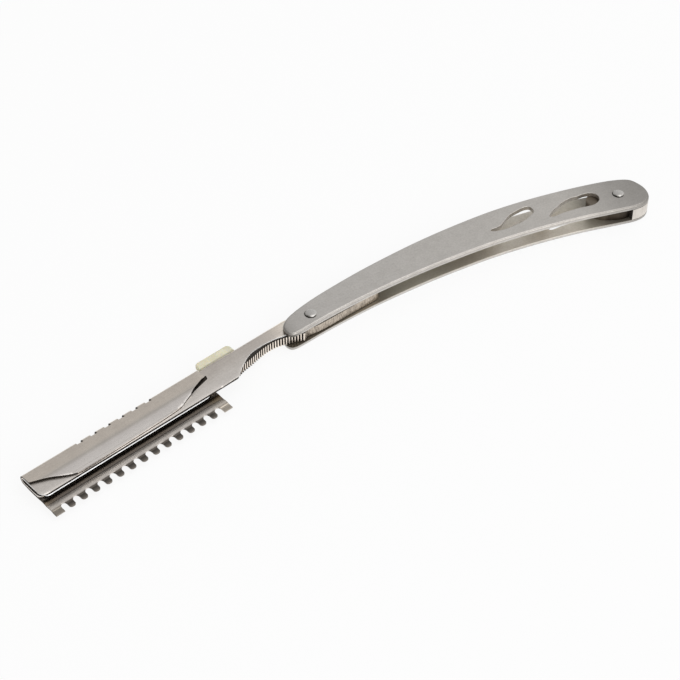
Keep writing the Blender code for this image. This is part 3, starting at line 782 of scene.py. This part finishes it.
def make_guard():
    """Second folded sheet with a short near flange and a long comb flange."""
    inner = SLEEVE_FACE + GUARD_CLEARANCE
    half = inner + GUARD_SHEET / 2
    crown = SLEEVE_CROWN + SLEEVE_SHEET / 2 + GUARD_CLEARANCE + GUARD_SHEET / 2
    base = crown - half
    stations = [(along * GUARD_LENGTH, low * GUARD_FLANGE)
                for along, low in FLANGE_STATION_SHARES]
    rows = []
    for along, edge in smooth_path(stations, STATION_STEPS, False):
        levels = [edge + (base - edge) * index / FLANGE_STEPS for index in range(FLANGE_STEPS)]
        near = [(v, half + GUARD_ARCH * arch(v, base)) for v in levels]
        levels = [base * share for share in FAR_FLANGE_SHARES] + [-GUARD_FLANGE]
        far = [(v, -half - GUARD_ARCH * arch(v, base)) for v in levels]
        section = near + fold_arc(base, crown, half) + far + comb_section(half)
        rows.append([(-HEAD_LENGTH + along, v, z) for v, z in section])
    item = sheet("guard_sheet", rows, GUARD_SHEET)
    feather(item)
    for loops in (comb_gaps(), fold_slots(base, crown)):
        shape = bmesh.new()
        for loop in loops:
            add_rings(shape, [at_level(loop, z) for z in (-SLOT_WIDTH, SLOT_WIDTH)])
        combine(item, object_from("gaps_tool", shape))
    break_edges(item, SHEET_EDGE_BREAK)
    return item


def feather(item):
    """Thin the guard's rear end over the spine, so that it runs into the sleeve."""
    rear = -TANG_LENGTH
    face = SLEEVE_FACE + GUARD_CLEARANCE / 2
    for vertex in item.data.vertices:
        share = min(1.0, (rear - vertex.co.x) / GUARD_FEATHER)
        if share >= 1.0 or vertex.co.y < GUARD_FLANGE * FEATHER_START_SHARE:
            continue
        room = GUARD_CLEARANCE / 2 + (GUARD_SHEET + GUARD_ARCH) * share
        vertex.co.z = max(-face - room, min(face + room, vertex.co.z))


def gap_loop(left, right, round_left, round_right):
    """Outline of one gap of the comb, round at its root and flared at its mouth."""
    middle = (left + right) / 2
    radius = (right - left) / 2
    past = -GUARD_DROP - TOOTH_CORNER
    points = [(middle + radius * math.cos(turn), -COMB_ROOT - radius + radius * math.sin(turn))
              for turn in turns(CORNER_STEPS, 0, 180)]
    points += mouth(left, -1, past) if round_left else [(left, past)]
    points += reversed(mouth(right, 1, past)) if round_right else [(right, past)]
    return points


def mouth(edge, side, past):
    """Quarter round that leaves a tooth with a rounded corner."""
    points = [(edge + side * inset, -GUARD_DROP + drop)
              for inset, drop in rounded_edge(TOOTH_CORNER, CORNER_STEPS // 2)]
    return points + [(edge + side * TOOTH_CORNER, past)]


def comb_gaps():
    """Outlines of the gaps between the teeth."""
    front = -HEAD_LENGTH
    rear = front + GUARD_LENGTH
    first = front + FIRST_TOOTH
    last = rear - LAST_TOOTH_END - TOOTH_WIDTH
    pitch = (last - first) / (TOOTH_COUNT - 1)
    edges = [front + END_TOOTH_WIDTH]
    for index in range(TOOTH_COUNT):
        edges += [first + pitch * index, first + pitch * index + TOOTH_WIDTH]
    edges.append(rear - END_TOOTH_WIDTH)
    return [gap_loop(edges[index], edges[index + 1], index > 0, index + 2 < len(edges))
            for index in range(0, len(edges), 2)]


def fold_slots(base, crown):
    """Outlines of the short slots across the guard's fold."""
    loops = []
    for index in range(SLOT_COUNT):
        left = -HEAD_LENGTH + FIRST_SLOT + index * SLOT_PITCH
        right = left + SLOT_LENGTH
        loops.append(((left, base), (right, base), (right, crown * 2), (left, crown * 2)))
    return loops


def rounded_loop(left, right, low, high, radius, foot):
    """Rectangle with its own corner radius at the top and at the foot."""
    points = []
    centres = ((right - radius, high - radius, radius, 0),
               (left + radius, high - radius, radius, 90),
               (left + foot, low + foot, foot, 180), (right - foot, low + foot, foot, 270))
    for x, y, corner, start in centres:
        points += [(x + corner * math.cos(turn), y + corner * math.sin(turn))
                   for turn in turns(CORNER_STEPS, start)]
    return points


def make_slider():
    """Plastic tab over the spine, stem through its slot and tongue behind the blade."""
    half = TAB_THICKNESS / 2
    front = -TAB_FRONT
    near = [(drop, half - inset) for inset, drop in rounded_edge(TAB_EDGE_ROUND, ROUND_EDGE_STEPS)]
    far = [(inset, -level) for inset, level in near]
    rings = []
    for inset, level in sorted(far + near, key=lambda pair: pair[1]):
        loop = rounded_loop(
            front + inset, front + TAB_LENGTH - inset, TAB_BASE + inset, TAB_TOP - inset,
            TAB_CORNER - inset * TAB_CORNER_SHARE, TAB_FOOT_CORNER)
        rings.append(at_level(loop, level))
    item = loft("slider_tab", rings)
    rear = STEM_LENGTH - STEM_FRONT
    blocks = (
        (-STEM_FRONT, rear, FOOT_BASE + FOOT_HEIGHT / 2, (TAB_BASE + TAB_TOP) / 2,
         STEM_THICKNESS),
        (-FOOT_FRONT, rear, FOOT_BASE, FOOT_BASE + FOOT_HEIGHT, FOOT_THICKNESS),
        (-TONGUE_TIP, STEM_LENGTH / 2 - STEM_FRONT, TONGUE_BASE, TONGUE_BASE + TONGUE_HEIGHT,
         TONGUE_THICKNESS),
    )
    for left, right, low, high, thickness in blocks:
        tool = box("block_tool", left, right, low, high, -thickness / 2, thickness / 2)
        combine(item, tool, "UNION")
    return item


def make_blade():
    """Thin blade whose ground band slopes to a honed edge."""
    front = -BLADE_REAR - BLADE_LENGTH
    lip = SLEEVE_FRONT_HALF - MOUTH_PINCH - SLEEVE_SHEET / 2
    seat = -lip + SEAT_GAP + BLADE_THICKNESS / 2
    half = BLADE_THICKNESS / 2
    tip = BLADE_EDGE_THICKNESS / 2
    ends = [(front + BLADE_CORNER * along, cut) for along, cut in BLADE_CORNER_SHARES]
    ends += [(-BLADE_REAR - BLADE_CORNER * along, cut)
             for along, cut in reversed(BLADE_CORNER_SHARES)]
    rings = []
    for u, cut in ends:
        edge = -BLADE_EDGE + BLADE_CORNER * cut
        ground = edge + BLADE_GRIND
        hone = edge + BLADE_HONE
        section = ((BLADE_BACK, half), (ground, half), (hone, tip - half), (edge, -half + tip),
                   (edge, -half), (BLADE_BACK, -half))
        rings.append([(u, v, seat + z) for v, z in section])
    return loft("blade_strip", rings)


def is_ground(centre, normal):
    """Sloping band along the blade's edge."""
    return normal.y < -GROUND_TILT and normal.z > GROUND_TILT


class Paint:
    """Short calls that add and join the nodes of one material or world."""

    def __init__(self, owner, shader="Principled BSDF", coordinates="Object"):
        owner.use_nodes = True
        self.owner = owner
        self.tree = owner.node_tree
        self.shader = self.tree.nodes[shader]
        self.place = self.tree.nodes.new("ShaderNodeTexCoord").outputs[coordinates]

    def put(self, value, target):
        """Join an output to an input, or set the input to a number or a triple."""
        if isinstance(value, bpy.types.NodeSocket):
            self.tree.links.new(value, target)
        elif target.type == "RGBA":
            target.default_value = (*value, 1)
        else:
            target.default_value = value

    def fill(self, values):
        """Set inputs of the shader by name."""
        for key, value in values.items():
            self.put(value, self.shader.inputs[key])

    def node(self, kind, inputs, output=0, **settings):
        """Add a node, fill its inputs and give back one of its outputs."""
        node = self.tree.nodes.new(kind)
        for key, value in settings.items():
            setattr(node, key, value)
        for key, value in inputs.items():
            self.put(value, node.inputs[key])
        return node.outputs[output]

    def noise(self, scale, detail=3.0, rough=0.5, stretch=(1, 1, 1)):
        """Noise with the scale in features per metre along each axis."""
        place = self.node("ShaderNodeMapping", {"Vector": self.place, "Scale": stretch})
        return self.node("ShaderNodeTexNoise", {
            "Vector": place, "Scale": scale, "Detail": detail, "Roughness": rough}, "Fac")

    def math(self, operation, first, second):
        return self.node("ShaderNodeMath", {0: first, 1: second}, operation=operation)

    def vector(self, operation, first, second=(0, 0, 0)):
        """Vector result, or the number that a product or a length gives."""
        output = "Value" if operation in ("DOT_PRODUCT", "LENGTH") else "Vector"
        return self.node("ShaderNodeVectorMath", {0: first, 1: second}, output,
                         operation=operation)

    def axis(self, name):
        return self.node("ShaderNodeSeparateXYZ", {"Vector": self.place}, name)

    def spread(self, value, low, high, start=0.0, end=1.0):
        """Map a value from low..high to start..end."""
        return self.node("ShaderNodeMapRange", {
            "Value": value, "From Min": low, "From Max": high, "To Min": start,
            "To Max": end}, "Result")

    def ramp(self, value, stops):
        """Colours over a value: each stop is a place from 0 to 1 and its colour."""
        node = self.tree.nodes.new("ShaderNodeValToRGB")
        elements = node.color_ramp.elements
        while len(elements) < len(stops):
            elements.new(0.5)
        for element, (place, *colour) in zip(elements, stops):
            element.position = place
            element.color = (*colour, 1)
        self.put(value, node.inputs["Fac"])
        return node.outputs["Color"]

    def blend(self, amount, first, second, kind="MIX"):
        """Mix two colours, each a triple or a socket."""
        return self.node("ShaderNodeMix", {0: amount, 6: first, 7: second}, 2,
                         data_type="RGBA", blend_type=kind)

    def tint(self, colour, value, low, high, stops):
        """Multiply a colour by tones, whose places are shares of the way from low to high."""
        tones = self.ramp(self.spread(value, low, high), stops)
        return self.blend(1.0, colour, tones, "MULTIPLY")

    def bump(self, height, microns):
        self.fill({"Normal": self.node("ShaderNodeBump", {
            "Height": height, "Distance": microns * MICRON}, "Normal")})


def new_paint(name):
    return Paint(bpy.data.materials.new(name))


def grey(level, warmth=0.03):
    """Grey with a little warmth: red above green above blue."""
    return (level * (1 + warmth), level, level * (1 - warmth))


def steel(name, dark, light, roughness, stretch, microns, painter=None,
          shares=(0.5, 0.4, 0.1), metal=1.0):
    """Worked steel: shares of lines along the grain, cloudy patches and fine pits.

    The stretch is the lines' scale along each axis, the microns how deep they are.
    """
    paint = new_paint(name)
    layers = (paint.noise(1.0, 4.0, 0.65, stretch), paint.noise(CLOUDS),
              paint.noise(PITS, 3.0, 0.7))
    mixed = 0
    for layer, share in zip(layers, shares):
        mixed = paint.math("ADD", mixed, paint.math("MULTIPLY", layer, share))
    colour = paint.blend(paint.spread(mixed, *NOISE_SPAN), dark, light)
    rough = paint.spread(mixed, *NOISE_SPAN, roughness + ROUGHNESS_SPREAD,
                         roughness - ROUGHNESS_SPREAD)
    if painter:
        colour = painter(paint, colour)
    paint.fill({"Base Color": colour, "Roughness": rough, "Metallic": metal})
    paint.bump(mixed, microns)
    return paint.owner


def guard_light_and_shade(paint, colour):
    """Painted light and shade: tan fold, darker crease, paler flange; dark, brown, pale bands;
    dark teeth.
    """
    u, v = paint.axis("X"), paint.axis("Y")
    # Painted shade in the crease and painted light on the lower flange.
    folded = paint.tint(colour, v, -GUARD_FLANGE, SLEEVE_CROWN, (
        (0.09, 1.16, 1.13, 1.11), (0.103, 0.9, 0.86, 0.82), (0.116, 1.18, 1.15, 1.13),
        (0.36, 1.12, 1.08, 1.06), (0.43, 0.96, 0.92, 0.88), (0.475, 0.88, 0.84, 0.79),
        (0.53, 1.02, 0.96, 0.89), (0.6, 1.07, 0.995, 0.91), (0.95, 1.07, 0.995, 0.91),
        (1.0, 1.05, 0.98, 0.9),
    ))
    # Painted shade under the sleeve in the dark and brown bands, painted light in the pale band,
    # painted shade on the teeth.
    bands = paint.tint(colour, v, -GUARD_DROP, BANDS_TOP, (
        (0.0, 0.36, 0.33, 0.3), (0.22, 0.12, 0.11, 0.1), (0.33, 0.1, 0.09, 0.08),
        (0.38, 1.05, 1.0, 0.96), (0.5, 1.2, 1.15, 1.1), (0.64, 1.24, 1.18, 1.12),
        (0.665, 0.5, 0.45, 0.42), (0.72, 0.47, 0.42, 0.38), (0.8, 0.52, 0.45, 0.38),
        (0.87, 0.26, 0.225, 0.19), (1.0, 0.22, 0.19, 0.16),
    ))
    at_ends = paint.tint(colour, v, -GUARD_DROP, BANDS_TOP, (
        (0.0, 0.66, 0.61, 0.54), (0.28, 0.78, 0.72, 0.63), (0.33, 0.3, 0.27, 0.24),
        (0.38, 1.0, 0.94, 0.86), (0.62, 1.1, 1.03, 0.94), (0.66, 0.75, 0.66, 0.54),
        (0.72, 0.55, 0.46, 0.34), (0.85, 0.32, 0.25, 0.17), (1.0, 0.12, 0.09, 0.06),
    ))
    # Near the rear end and the tip the painted light and shade take other tones.
    ends = paint.math("MAXIMUM", paint.spread(u, *REAR_END), paint.spread(u, *TIP_END, 0.0, 0.5))
    bands = paint.blend(ends, bands, at_ends)
    return paint.blend(paint.spread(v, *BANDS_BLEND, 1.0, 0.0), folded, bands)


def blade_lip_shadow(paint, colour):
    """Painted shadow: a dark line on both sides of the ground band, where the sleeve's lip shades
    the blade.
    """
    return paint.tint(colour, paint.axis("Y"), *BLADE_SHADOW_LINE, (
        (0.3, 0.3, 0.27, 0.24), (0.45, 0.05, 0.045, 0.04), (0.8, 0.06, 0.055, 0.05),
        (0.9, 1.0, 1.0, 1.0),
    ))


def sleeve_light_and_shade(paint, colour):
    """Painted light and shade: paler toward the mouth, lined along the cheek, lifted near the
    handle's nose.
    """
    u, v = paint.axis("X"), paint.axis("Y")
    # Painted light, paler toward the mouth.
    across = paint.tint(colour, v, -SLEEVE_DROP, SLEEVE_CROWN, (
        (0.0, 1.26, 1.24, 1.22), (0.35, 1.22, 1.19, 1.16), (0.6, 1.08, 1.04, 1.0),
        (1.0, 1.06, 1.01, 0.96),
    ))
    edge = paint.spread(u, -TANG_LENGTH, -TANG_LENGTH * CHEEK_CORNER_SHARE, -SLEEVE_DROP,
                        -SLEEVE_DROP * CHEEK_DROP_SHARE)
    # Painted shadow line along the cheek's edge, with a painted highlight just above it.
    lined = paint.tint(across, paint.math("SUBTRACT", v, edge), 0.0, CHEEK_SHADOW_LINE, (
        (0.22, 0.1, 0.09, 0.08), (0.3, 1.14, 1.14, 1.14), (0.7, 1.12, 1.12, 1.12),
        (1.0, 1.0, 1.0, 1.0),
    ))
    # Painted light that lifts the neck near the handle's nose.
    return paint.tint(lined, u, *NECK, (
        (0.0, 1.0, 1.0, 1.0), (0.4, 1.12, 1.11, 1.09), (0.75, 1.5, 1.47, 1.42),
        (1.0, 1.6, 1.56, 1.5),
    ))


def plate_light_and_shade(paint, colour):
    """Painted shade: darker at the nose's side and toward the tail, and a rim darkened to calm its
    highlight.
    """
    x, z = paint.axis("X"), paint.axis("Z")
    # Painted shade at the nose and toward the tail.
    shown = paint.tint(colour, x, *PLATE, (
        (0.0, 0.55, 0.54, 0.52), (0.012, 0.78, 0.77, 0.75), (0.035, 0.9, 0.89, 0.87),
        (0.1, 0.98, 0.97, 0.95), (0.8, 1.0, 0.985, 0.955), (0.93, 0.7, 0.69, 0.67),
        (1.0, 0.6, 0.59, 0.57),
    ))
    # Painted shade that tones down the rounded rim's highlight.
    shown = paint.tint(shown, z, *PLATE_RIM, (
        (0.0, 1.0, 1.0, 1.0), (0.3, 0.8, 0.79, 0.78), (0.88, 0.72, 0.71, 0.7),
        (0.98, 1.0, 1.0, 1.0),
    ))
    # Painted shade on the near plate's side wall at the nose.
    side = paint.math("MULTIPLY", paint.spread(x, *NOSE, 0.85, 0.0),
                      paint.spread(z, *NOSE_SIDE, 1.0, 0.0))
    side = paint.math("MULTIPLY", side, paint.math("GREATER_THAN", z, BETWEEN_PLATES))
    shown = paint.blend(side, shown, (0.08, 0.07, 0.06))
    # Painted shadow crescents around the rivets.
    for rivet in (0, RIVET_SPACING):
        shown = rivet_shadow_ring(paint, shown, rivet)
    return shown


def slot_painted_shade(paint, colour):
    """Painted shade inside the slot: dark around the pivot and by the spacer, paler toward the
    tail.
    """
    return paint.tint(colour, paint.axis("X"), *SLOT, (
        (0.0, 0.1, 0.09, 0.075), (0.12, 0.17, 0.155, 0.13), (0.17, 0.27, 0.255, 0.22),
        (0.25, 0.34, 0.32, 0.28), (0.31, 0.56, 0.56, 0.52), (0.37, 0.64, 0.64, 0.6),
        (0.45, 0.58, 0.57, 0.53), (0.52, 0.6, 0.58, 0.54), (0.6, 0.82, 0.82, 0.8),
        (0.7, 0.86, 0.86, 0.85), (0.79, 0.93, 0.93, 0.91), (0.838, 0.7, 0.7, 0.66),
        (0.862, 0.48, 0.47, 0.44), (0.89, 0.26, 0.25, 0.23), (1.0, 0.22, 0.2, 0.18),
    ))


def rivet_shadow_ring(paint, colour, along):
    """Painted shadow: a fine dark crescent around a rivet on its lower left as seen, painted pale
    opposite.
    """
    spot = paint.vector("SUBTRACT", paint.place, (along - REST_ALONG, -REST_ACROSS, 0))
    away = paint.vector("LENGTH", paint.vector("MULTIPLY", spot, (1, 1, 0)))
    ring = paint.math("MULTIPLY", paint.spread(away, *RING),
                      paint.spread(paint.axis("Z"), *PLATE_TOP))
    toward = paint.vector("DOT_PRODUCT", spot, LOWER_LEFT)
    return paint.blend(ring, colour, paint.ramp(paint.spread(toward, *DOME), (
        (0.0, 0.8, 0.79, 0.77), (0.3, 0.62, 0.6, 0.57), (0.5, 0.2, 0.19, 0.17),
        (0.65, 0.05, 0.045, 0.04), (1.0, 0.03, 0.027, 0.022),
    )))


def dome_light_and_shade(paint, colour):
    """Painted light and shade: grey dome, dark at its foot on the lower left as seen, bright
    opposite.
    """
    spot = paint.vector("SUBTRACT", paint.place, (-REST_ALONG, -REST_ACROSS, 0))
    toward = paint.vector("DOT_PRODUCT", spot, LOWER_LEFT)
    at_tail = paint.math("GREATER_THAN", paint.axis("X"), 0)
    shift = paint.math("MULTIPLY", at_tail, -LOWER_LEFT[0] * RIVET_SPACING)
    return paint.tint(colour, paint.math("ADD", toward, shift), *DOME, (
        (0.0, 1.12, 1.11, 1.09), (0.3, 1.0, 0.99, 0.97), (0.6, 0.9, 0.89, 0.87),
        (0.84, 0.78, 0.77, 0.75), (0.93, 0.35, 0.34, 0.32), (1.0, 0.06, 0.055, 0.05),
    ))


def spacer_painted_shade(paint, colour):
    """Painted shade: brown nose and nearly black side, shaded in the slot; the end wall stays
    bright.
    """
    return paint.tint(colour, paint.axis("X"), *SPACER, (
        (0.0, 0.12, 0.1, 0.08), (0.2, 0.14, 0.115, 0.09), (0.26, 0.29, 0.26, 0.22),
        (0.42, 0.27, 0.24, 0.2), (0.5, 0.12, 0.1, 0.08), (0.9, 0.07, 0.06, 0.05),
        (0.985, 0.05, 0.04, 0.035), (0.991, 1.0, 0.98, 0.95),
    ))


def tang_light_and_shade(paint, colour):
    """Painted light on the ribs between two painted shadow lines, and a darker tail with a cross
    grain.
    """
    u, z = paint.axis("X"), paint.axis("Z")
    # Painted shade at the bar's front end, painted light on the ribs, and a darker tail.
    shown = paint.tint(colour, u, -BAR_LENGTH, BAR_TAIL, (
        (0.0, 0.5, 0.46, 0.42), (0.06, 1.15, 1.1, 1.04), (0.25, 1.25, 1.2, 1.13),
        (0.45, 1.25, 1.2, 1.13), (0.475, 0.62, 0.58, 0.52), (0.75, 0.62, 0.58, 0.52),
        (0.95, 0.72, 0.67, 0.6),
    ))
    tail = paint.spread(u, *TAIL_START)
    cross = paint.noise(1.0, 2.0, 0.5, CROSS_GRAIN)
    crossed = paint.tint(shown, cross, *CROSS_SPAN, (
        (0.0, 0.72, 0.71, 0.7), (1.0, 1.25, 1.25, 1.25)))
    shown = paint.blend(tail, shown, crossed)
    # Painted shadow lines above the bar and below the ribs.
    above = paint.math("SUBTRACT", z, paint.spread(u, *TOP_SHADOW_LINE))
    below = paint.math("SUBTRACT", paint.spread(u, *FOOT_SHADOW_LINE), z)
    off_face = paint.math("MAXIMUM", paint.math("SUBTRACT", 1, tail),
                          paint.spread(z, *TAIL_FACE, 1.0, 0.0))
    above = paint.math("MULTIPLY", paint.spread(above, *LINE_BLUR, 0.0, 0.95), off_face)
    lines = paint.math("MAXIMUM", above, paint.spread(below, *LINE_BLUR, 0.0, 0.9))
    return paint.blend(lines, shown, (0.02, 0.017, 0.014))


def plastic(name):
    """Cream moulded plastic that lets some light through."""
    paint = new_paint(name)
    grain = paint.noise(PLASTIC_GRAIN, 2.0)
    clouds = paint.spread(paint.noise(PLASTIC_CLOUDS), *PLASTIC_CLOUD_SPAN)
    colour = paint.blend(clouds, (0.71, 0.67, 0.495), (0.81, 0.775, 0.6))
    # Darker for a short way above the sleeve's crown, where the tab leaves its slot.
    darker_base = paint.spread(paint.axis("Y"), SLEEVE_CROWN, SLEEVE_CROWN + TAB_DARK_BAND, 0.45, 0.0)
    paint.fill({
        "Base Color": paint.blend(darker_base, colour, (0.2, 0.17, 0.12)),
        "Roughness": paint.spread(grain, *PLASTIC_GRAIN_SPAN, 0.36, 0.5),
        "Subsurface Weight": 0.35, "Subsurface Radius": (1.0, 0.8, 0.45),
        "Subsurface Scale": LIGHT_DEPTH, "IOR": 1.5,
    })
    paint.bump(grain, microns=4)
    return paint.owner


def make_floor():
    """Plain white floor that keeps the razor's soft shadow."""
    shape = bmesh.new()
    bmesh.ops.create_grid(shape, x_segments=1, y_segments=1, size=FLOOR_HALF)
    floor = object_from("studio_floor", shape)
    floor.location = (0, 0, -FLOOR_GAP)
    paint = new_paint("white_floor")
    paint.fill({"Base Color": (0.93, 0.93, 0.93), "Roughness": 0.9, "Specular IOR Level": 0.0})
    rays = paint.tree.nodes.new("ShaderNodeLightPath").outputs
    seen = paint.math("MAXIMUM", rays["Is Camera Ray"], rays["Is Glossy Ray"])
    seen = paint.math("MAXIMUM", seen, rays["Is Transmission Ray"])
    surface = paint.node("ShaderNodeMixShader", {
        0: paint.math("MULTIPLY", seen, FLOOR_GLOW_SHARE), 1: paint.shader.outputs["BSDF"],
        2: paint.node("ShaderNodeEmission", {"Strength": 1.0})})
    paint.put(surface, paint.tree.nodes["Material Output"].inputs["Surface"])
    floor.data.materials.append(paint.owner)


def view_axes():
    """Right, up and forward of the camera, and the level direction it looks along."""
    right = Vector((math.cos(VIEW_TURN), -math.sin(VIEW_TURN), 0))
    level = Vector((math.sin(VIEW_TURN), math.cos(VIEW_TURN), 0))
    rise = Vector((0, 0, 1))
    forward = level * math.cos(VIEW_ELEVATION) - rise * math.sin(VIEW_ELEVATION)
    up = level * math.sin(VIEW_ELEVATION) + rise * math.cos(VIEW_ELEVATION)
    return right, up, forward, level


def make_camera():
    """Camera placed and turned as the photograph's."""
    right, up, forward, level = view_axes()
    camera = bpy.data.cameras.new("photo_camera")
    camera.sensor_width = SENSOR_WIDTH
    camera.lens = FOCAL_PIXELS * SENSOR_WIDTH / IMAGE_PIXELS
    camera.clip_start = NEAREST_SEEN
    item = bpy.data.objects.new("photo_camera", camera)
    bpy.context.scene.collection.objects.link(item)
    place = Matrix((right, up, -forward)).transposed().to_4x4()
    place.translation = Vector(VIEW_TARGET) - forward * VIEW_DISTANCE
    item.matrix_world = place
    bpy.context.scene.camera = item


def soft_light(name, azimuth, elevation, strength):
    """Square softbox that faces the razor, placed by angles from the view's right."""
    right, up, forward, level = view_axes()
    turn = math.radians(azimuth)
    rise = math.radians(elevation)
    out = (right * math.cos(turn) + level * math.sin(turn)) * math.cos(rise)
    out += Vector((0, 0, 1)) * math.sin(rise)
    lamp = bpy.data.lights.new(name, "AREA")
    lamp.shape = "SQUARE"
    lamp.size = SOFTBOX_SIZE
    lamp.energy = strength * math.pi * SOFTBOX_SIZE * SOFTBOX_SIZE
    item = bpy.data.objects.new(name, lamp)
    bpy.context.scene.collection.objects.link(item)
    item.location = Vector(VIEW_TARGET) + out * SOFTBOX_DISTANCE
    item.rotation_euler = (-out).to_track_quat("-Z", "Y").to_euler()


def make_world():
    """Pale room: brighter behind the viewer, greyer beyond the razor."""
    right, up, forward, level = view_axes()
    world = bpy.data.worlds.new("soft_room")
    bpy.context.scene.world = world
    paint = Paint(world, "Background", "Generated")
    bright_side = right * BRIGHT_RIGHT - level * BRIGHT_BEHIND
    toward = paint.vector("DOT_PRODUCT", paint.place, tuple(bright_side))
    stops = [(place, shade, shade, shade) for place, shade in ROOM_SHADES]
    paint.fill({"Color": paint.ramp(paint.spread(toward, -1.0, 1.0), stops), "Strength": 1.0})


def in_window(centre, normal):
    """Cut walls of the leaf windows, which lie inside the plate's outline."""
    spot = ((centre.x + REST_ALONG) / RIVET_SPACING, (centre.y + REST_ACROSS) / HANDLE_RISE)
    inside = any(within(spot, shares, WINDOW_MARGIN_SHARES) for shares in WINDOWS_SHARES)
    return inside and abs(normal.z) < WALL_TILT


def make_handle():
    """Scales, spacer and rivets; slot 1 is a scale's inside, with painted light and shade, and
    slot 2 its cut walls.
    """
    lengthwise = (70, 1500, 1500)
    fine = (0.15, 0.3, 0.55)
    satin = steel("satin_steel", grey(0.55, 0.035), grey(0.69, 0.03), 0.4, lengthwise, 2,
                  plate_light_and_shade, fine)
    # Paler copy of the plate steel as painted light inside the slot, with painted shade along it.
    inside = steel("inner_light_and_shade_steel", (0.74, 0.69, 0.62), (0.88, 0.83, 0.76), 0.42, lengthwise, 3,
                   slot_painted_shade, fine, 0.55)
    cut = steel("cut_steel", (0.36, 0.33, 0.29), (0.5, 0.465, 0.42), 0.5, (900, 900, 200), 4)
    block = steel("spacer_steel", grey(0.6, 0.05), grey(0.78, 0.045), 0.42, (1700, 1700, 100), 8,
                  spacer_painted_shade)
    pin = steel("rivet_steel", grey(0.64, 0.02), grey(0.7, 0.02), 0.26, (700, 700, 700), 2,
                dome_light_and_shade)
    near = make_scale("near_plate", SCALES_TOP - SCALE_THICKNESS, SCALES_TOP)
    rear = make_scale("rear_plate", SCALE_THICKNESS, 0)
    for item, node, slot, material in (
            (near, "near_scale", "satin_steel", satin), (rear, "rear_scale", "satin_steel", satin),
            (make_spacer(), "tail_spacer", "spacer_steel", block),
            (make_rivet("pivot_pin", 0), "pivot_rivet", "rivet_steel", pin),
            (make_rivet("tail_pin", RIVET_SPACING), "tail_rivet", "rivet_steel", pin)):
        place_handle(item)
        finish(item, material, inside, cut)
        dress(item, node, "handle")
    # The scales' insides take the steel with painted light and shade.
    mark(near, 1, lambda centre, normal: normal.z < -FACE_TILT)
    mark(rear, 1, lambda centre, normal: normal.z > FACE_TILT)
    for plate in (near, rear):
        mark(plate, 2, in_window)


def rib_gaps():
    """Rule for the floors and sides of the notches between the ribs, painted in shade."""
    edge = ribbed_edge()

    def rule(centre, normal):
        behind = centre.x > -BAR_LENGTH * RIBS_END_SHARE or centre.y > RIBS_BELOW
        if behind or abs(normal.z) > BREAK_TILT:
            return False
        spot = np.array((centre.x, centre.y))
        return min(np.linalg.norm(point - spot) for point in edge) > RIB_DEPTH * RIB_FACE_SHARE
    return rule


def fold_slot_wall(centre, normal):
    """Walls of the slots across the guard's fold, but not the guard's own ends, painted in shade.
    """
    inside = -HEAD_LENGTH + SLOT_LENGTH / 2 < centre.x < -TANG_LENGTH - SLOT_LENGTH / 2
    return inside and abs(normal.x) > FACE_TILT and centre.y > GUARD_FLANGE


def make_head():
    """Tang, sleeve, guard, blade and slider; later slots hold cut and dark faces, painted as shade
    or highlight.
    """
    lengthwise = (60, 2200, 2200)
    worn = (0.25, 0.3, 0.45)
    tang = steel("tang_steel", grey(0.6, 0.07), grey(0.85, 0.06), 0.38, (1500, 1500, 160), 6,
                 tang_light_and_shade)
    cheek = steel("sleeve_steel", grey(0.52, 0.05), grey(0.67, 0.04), 0.34, lengthwise, 1.5,
                  sleeve_light_and_shade, worn)
    # Pale, mostly matt copy of the steel as a painted highlight on edges.
    edge = steel("edge_highlight_steel", grey(0.82, 0.02), grey(0.9, 0.02), 0.45, lengthwise, 1, metal=0.2)
    comb = steel("guard_steel", grey(0.59, 0.03), grey(0.73, 0.03), 0.3, lengthwise, 1.5,
                 guard_light_and_shade, worn)
    # Darker copy of the steel as painted shade on the folds' insides.
    inside = steel("fold_inside_shade_steel", (0.24, 0.215, 0.19), (0.36, 0.33, 0.29), 0.45, lengthwise,
                   3)
    # Near-black steel as painted shade on grooves, edges, slot walls and rib notches.
    dark = steel("shaded_steel", (0.035, 0.03, 0.025), (0.07, 0.06, 0.05), 0.5, (700, 700, 700),
                 3)
    blade = steel("blade_steel", grey(0.62, 0.0), grey(0.7, 0.0), 0.2, lengthwise, 1, blade_lip_shadow)
    ground = steel("ground_steel", grey(0.7, 0.0), grey(0.8, 0.0), 0.42, (300, 900, 900), 1)
    # Slots: fold insides and dark faces take painted shade, bright edges a painted highlight.
    pieces = (
        (make_bar(), "tang_bar", "head", "tang_steel", (tang, dark), ((1, rib_gaps()),)),
        (make_sleeve(), "blade_sleeve", "head", "sleeve_steel", (cheek, inside, dark, edge),
         ((1, looks_inward), (2, in_groove), (3, bright_edge), (2, dark_edge))),
        (make_guard(), "comb_guard", "guard", "guard_steel", (comb, inside, dark, edge),
         ((1, looks_inward), (3, bright_break), (2, raised_edge), (2, fold_slot_wall))),
        (make_blade(), "razor_blade", "blade", "blade_steel", (blade, ground),
         ((1, is_ground),)),
        (make_slider(), "blade_slider", "slider", "cream_plastic",
         (plastic("cream_plastic"),), ()),
    )
    for item, node, body, slot, materials, rules in pieces:
        place_head(item)
        finish(item, *materials)
        dress(item, node, body)
        for index, rule in rules:
            mark(item, index, rule)


def main():
    bpy.context.scene.view_settings.view_transform = "Standard"
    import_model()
    make_camera()
    make_world()
    make_floor()
    soft_light("front_softbox", -48, 30, 1.25)
    soft_light("top_softbox", 20, 72, 1.0)
    make_handle()
    make_head()


main()
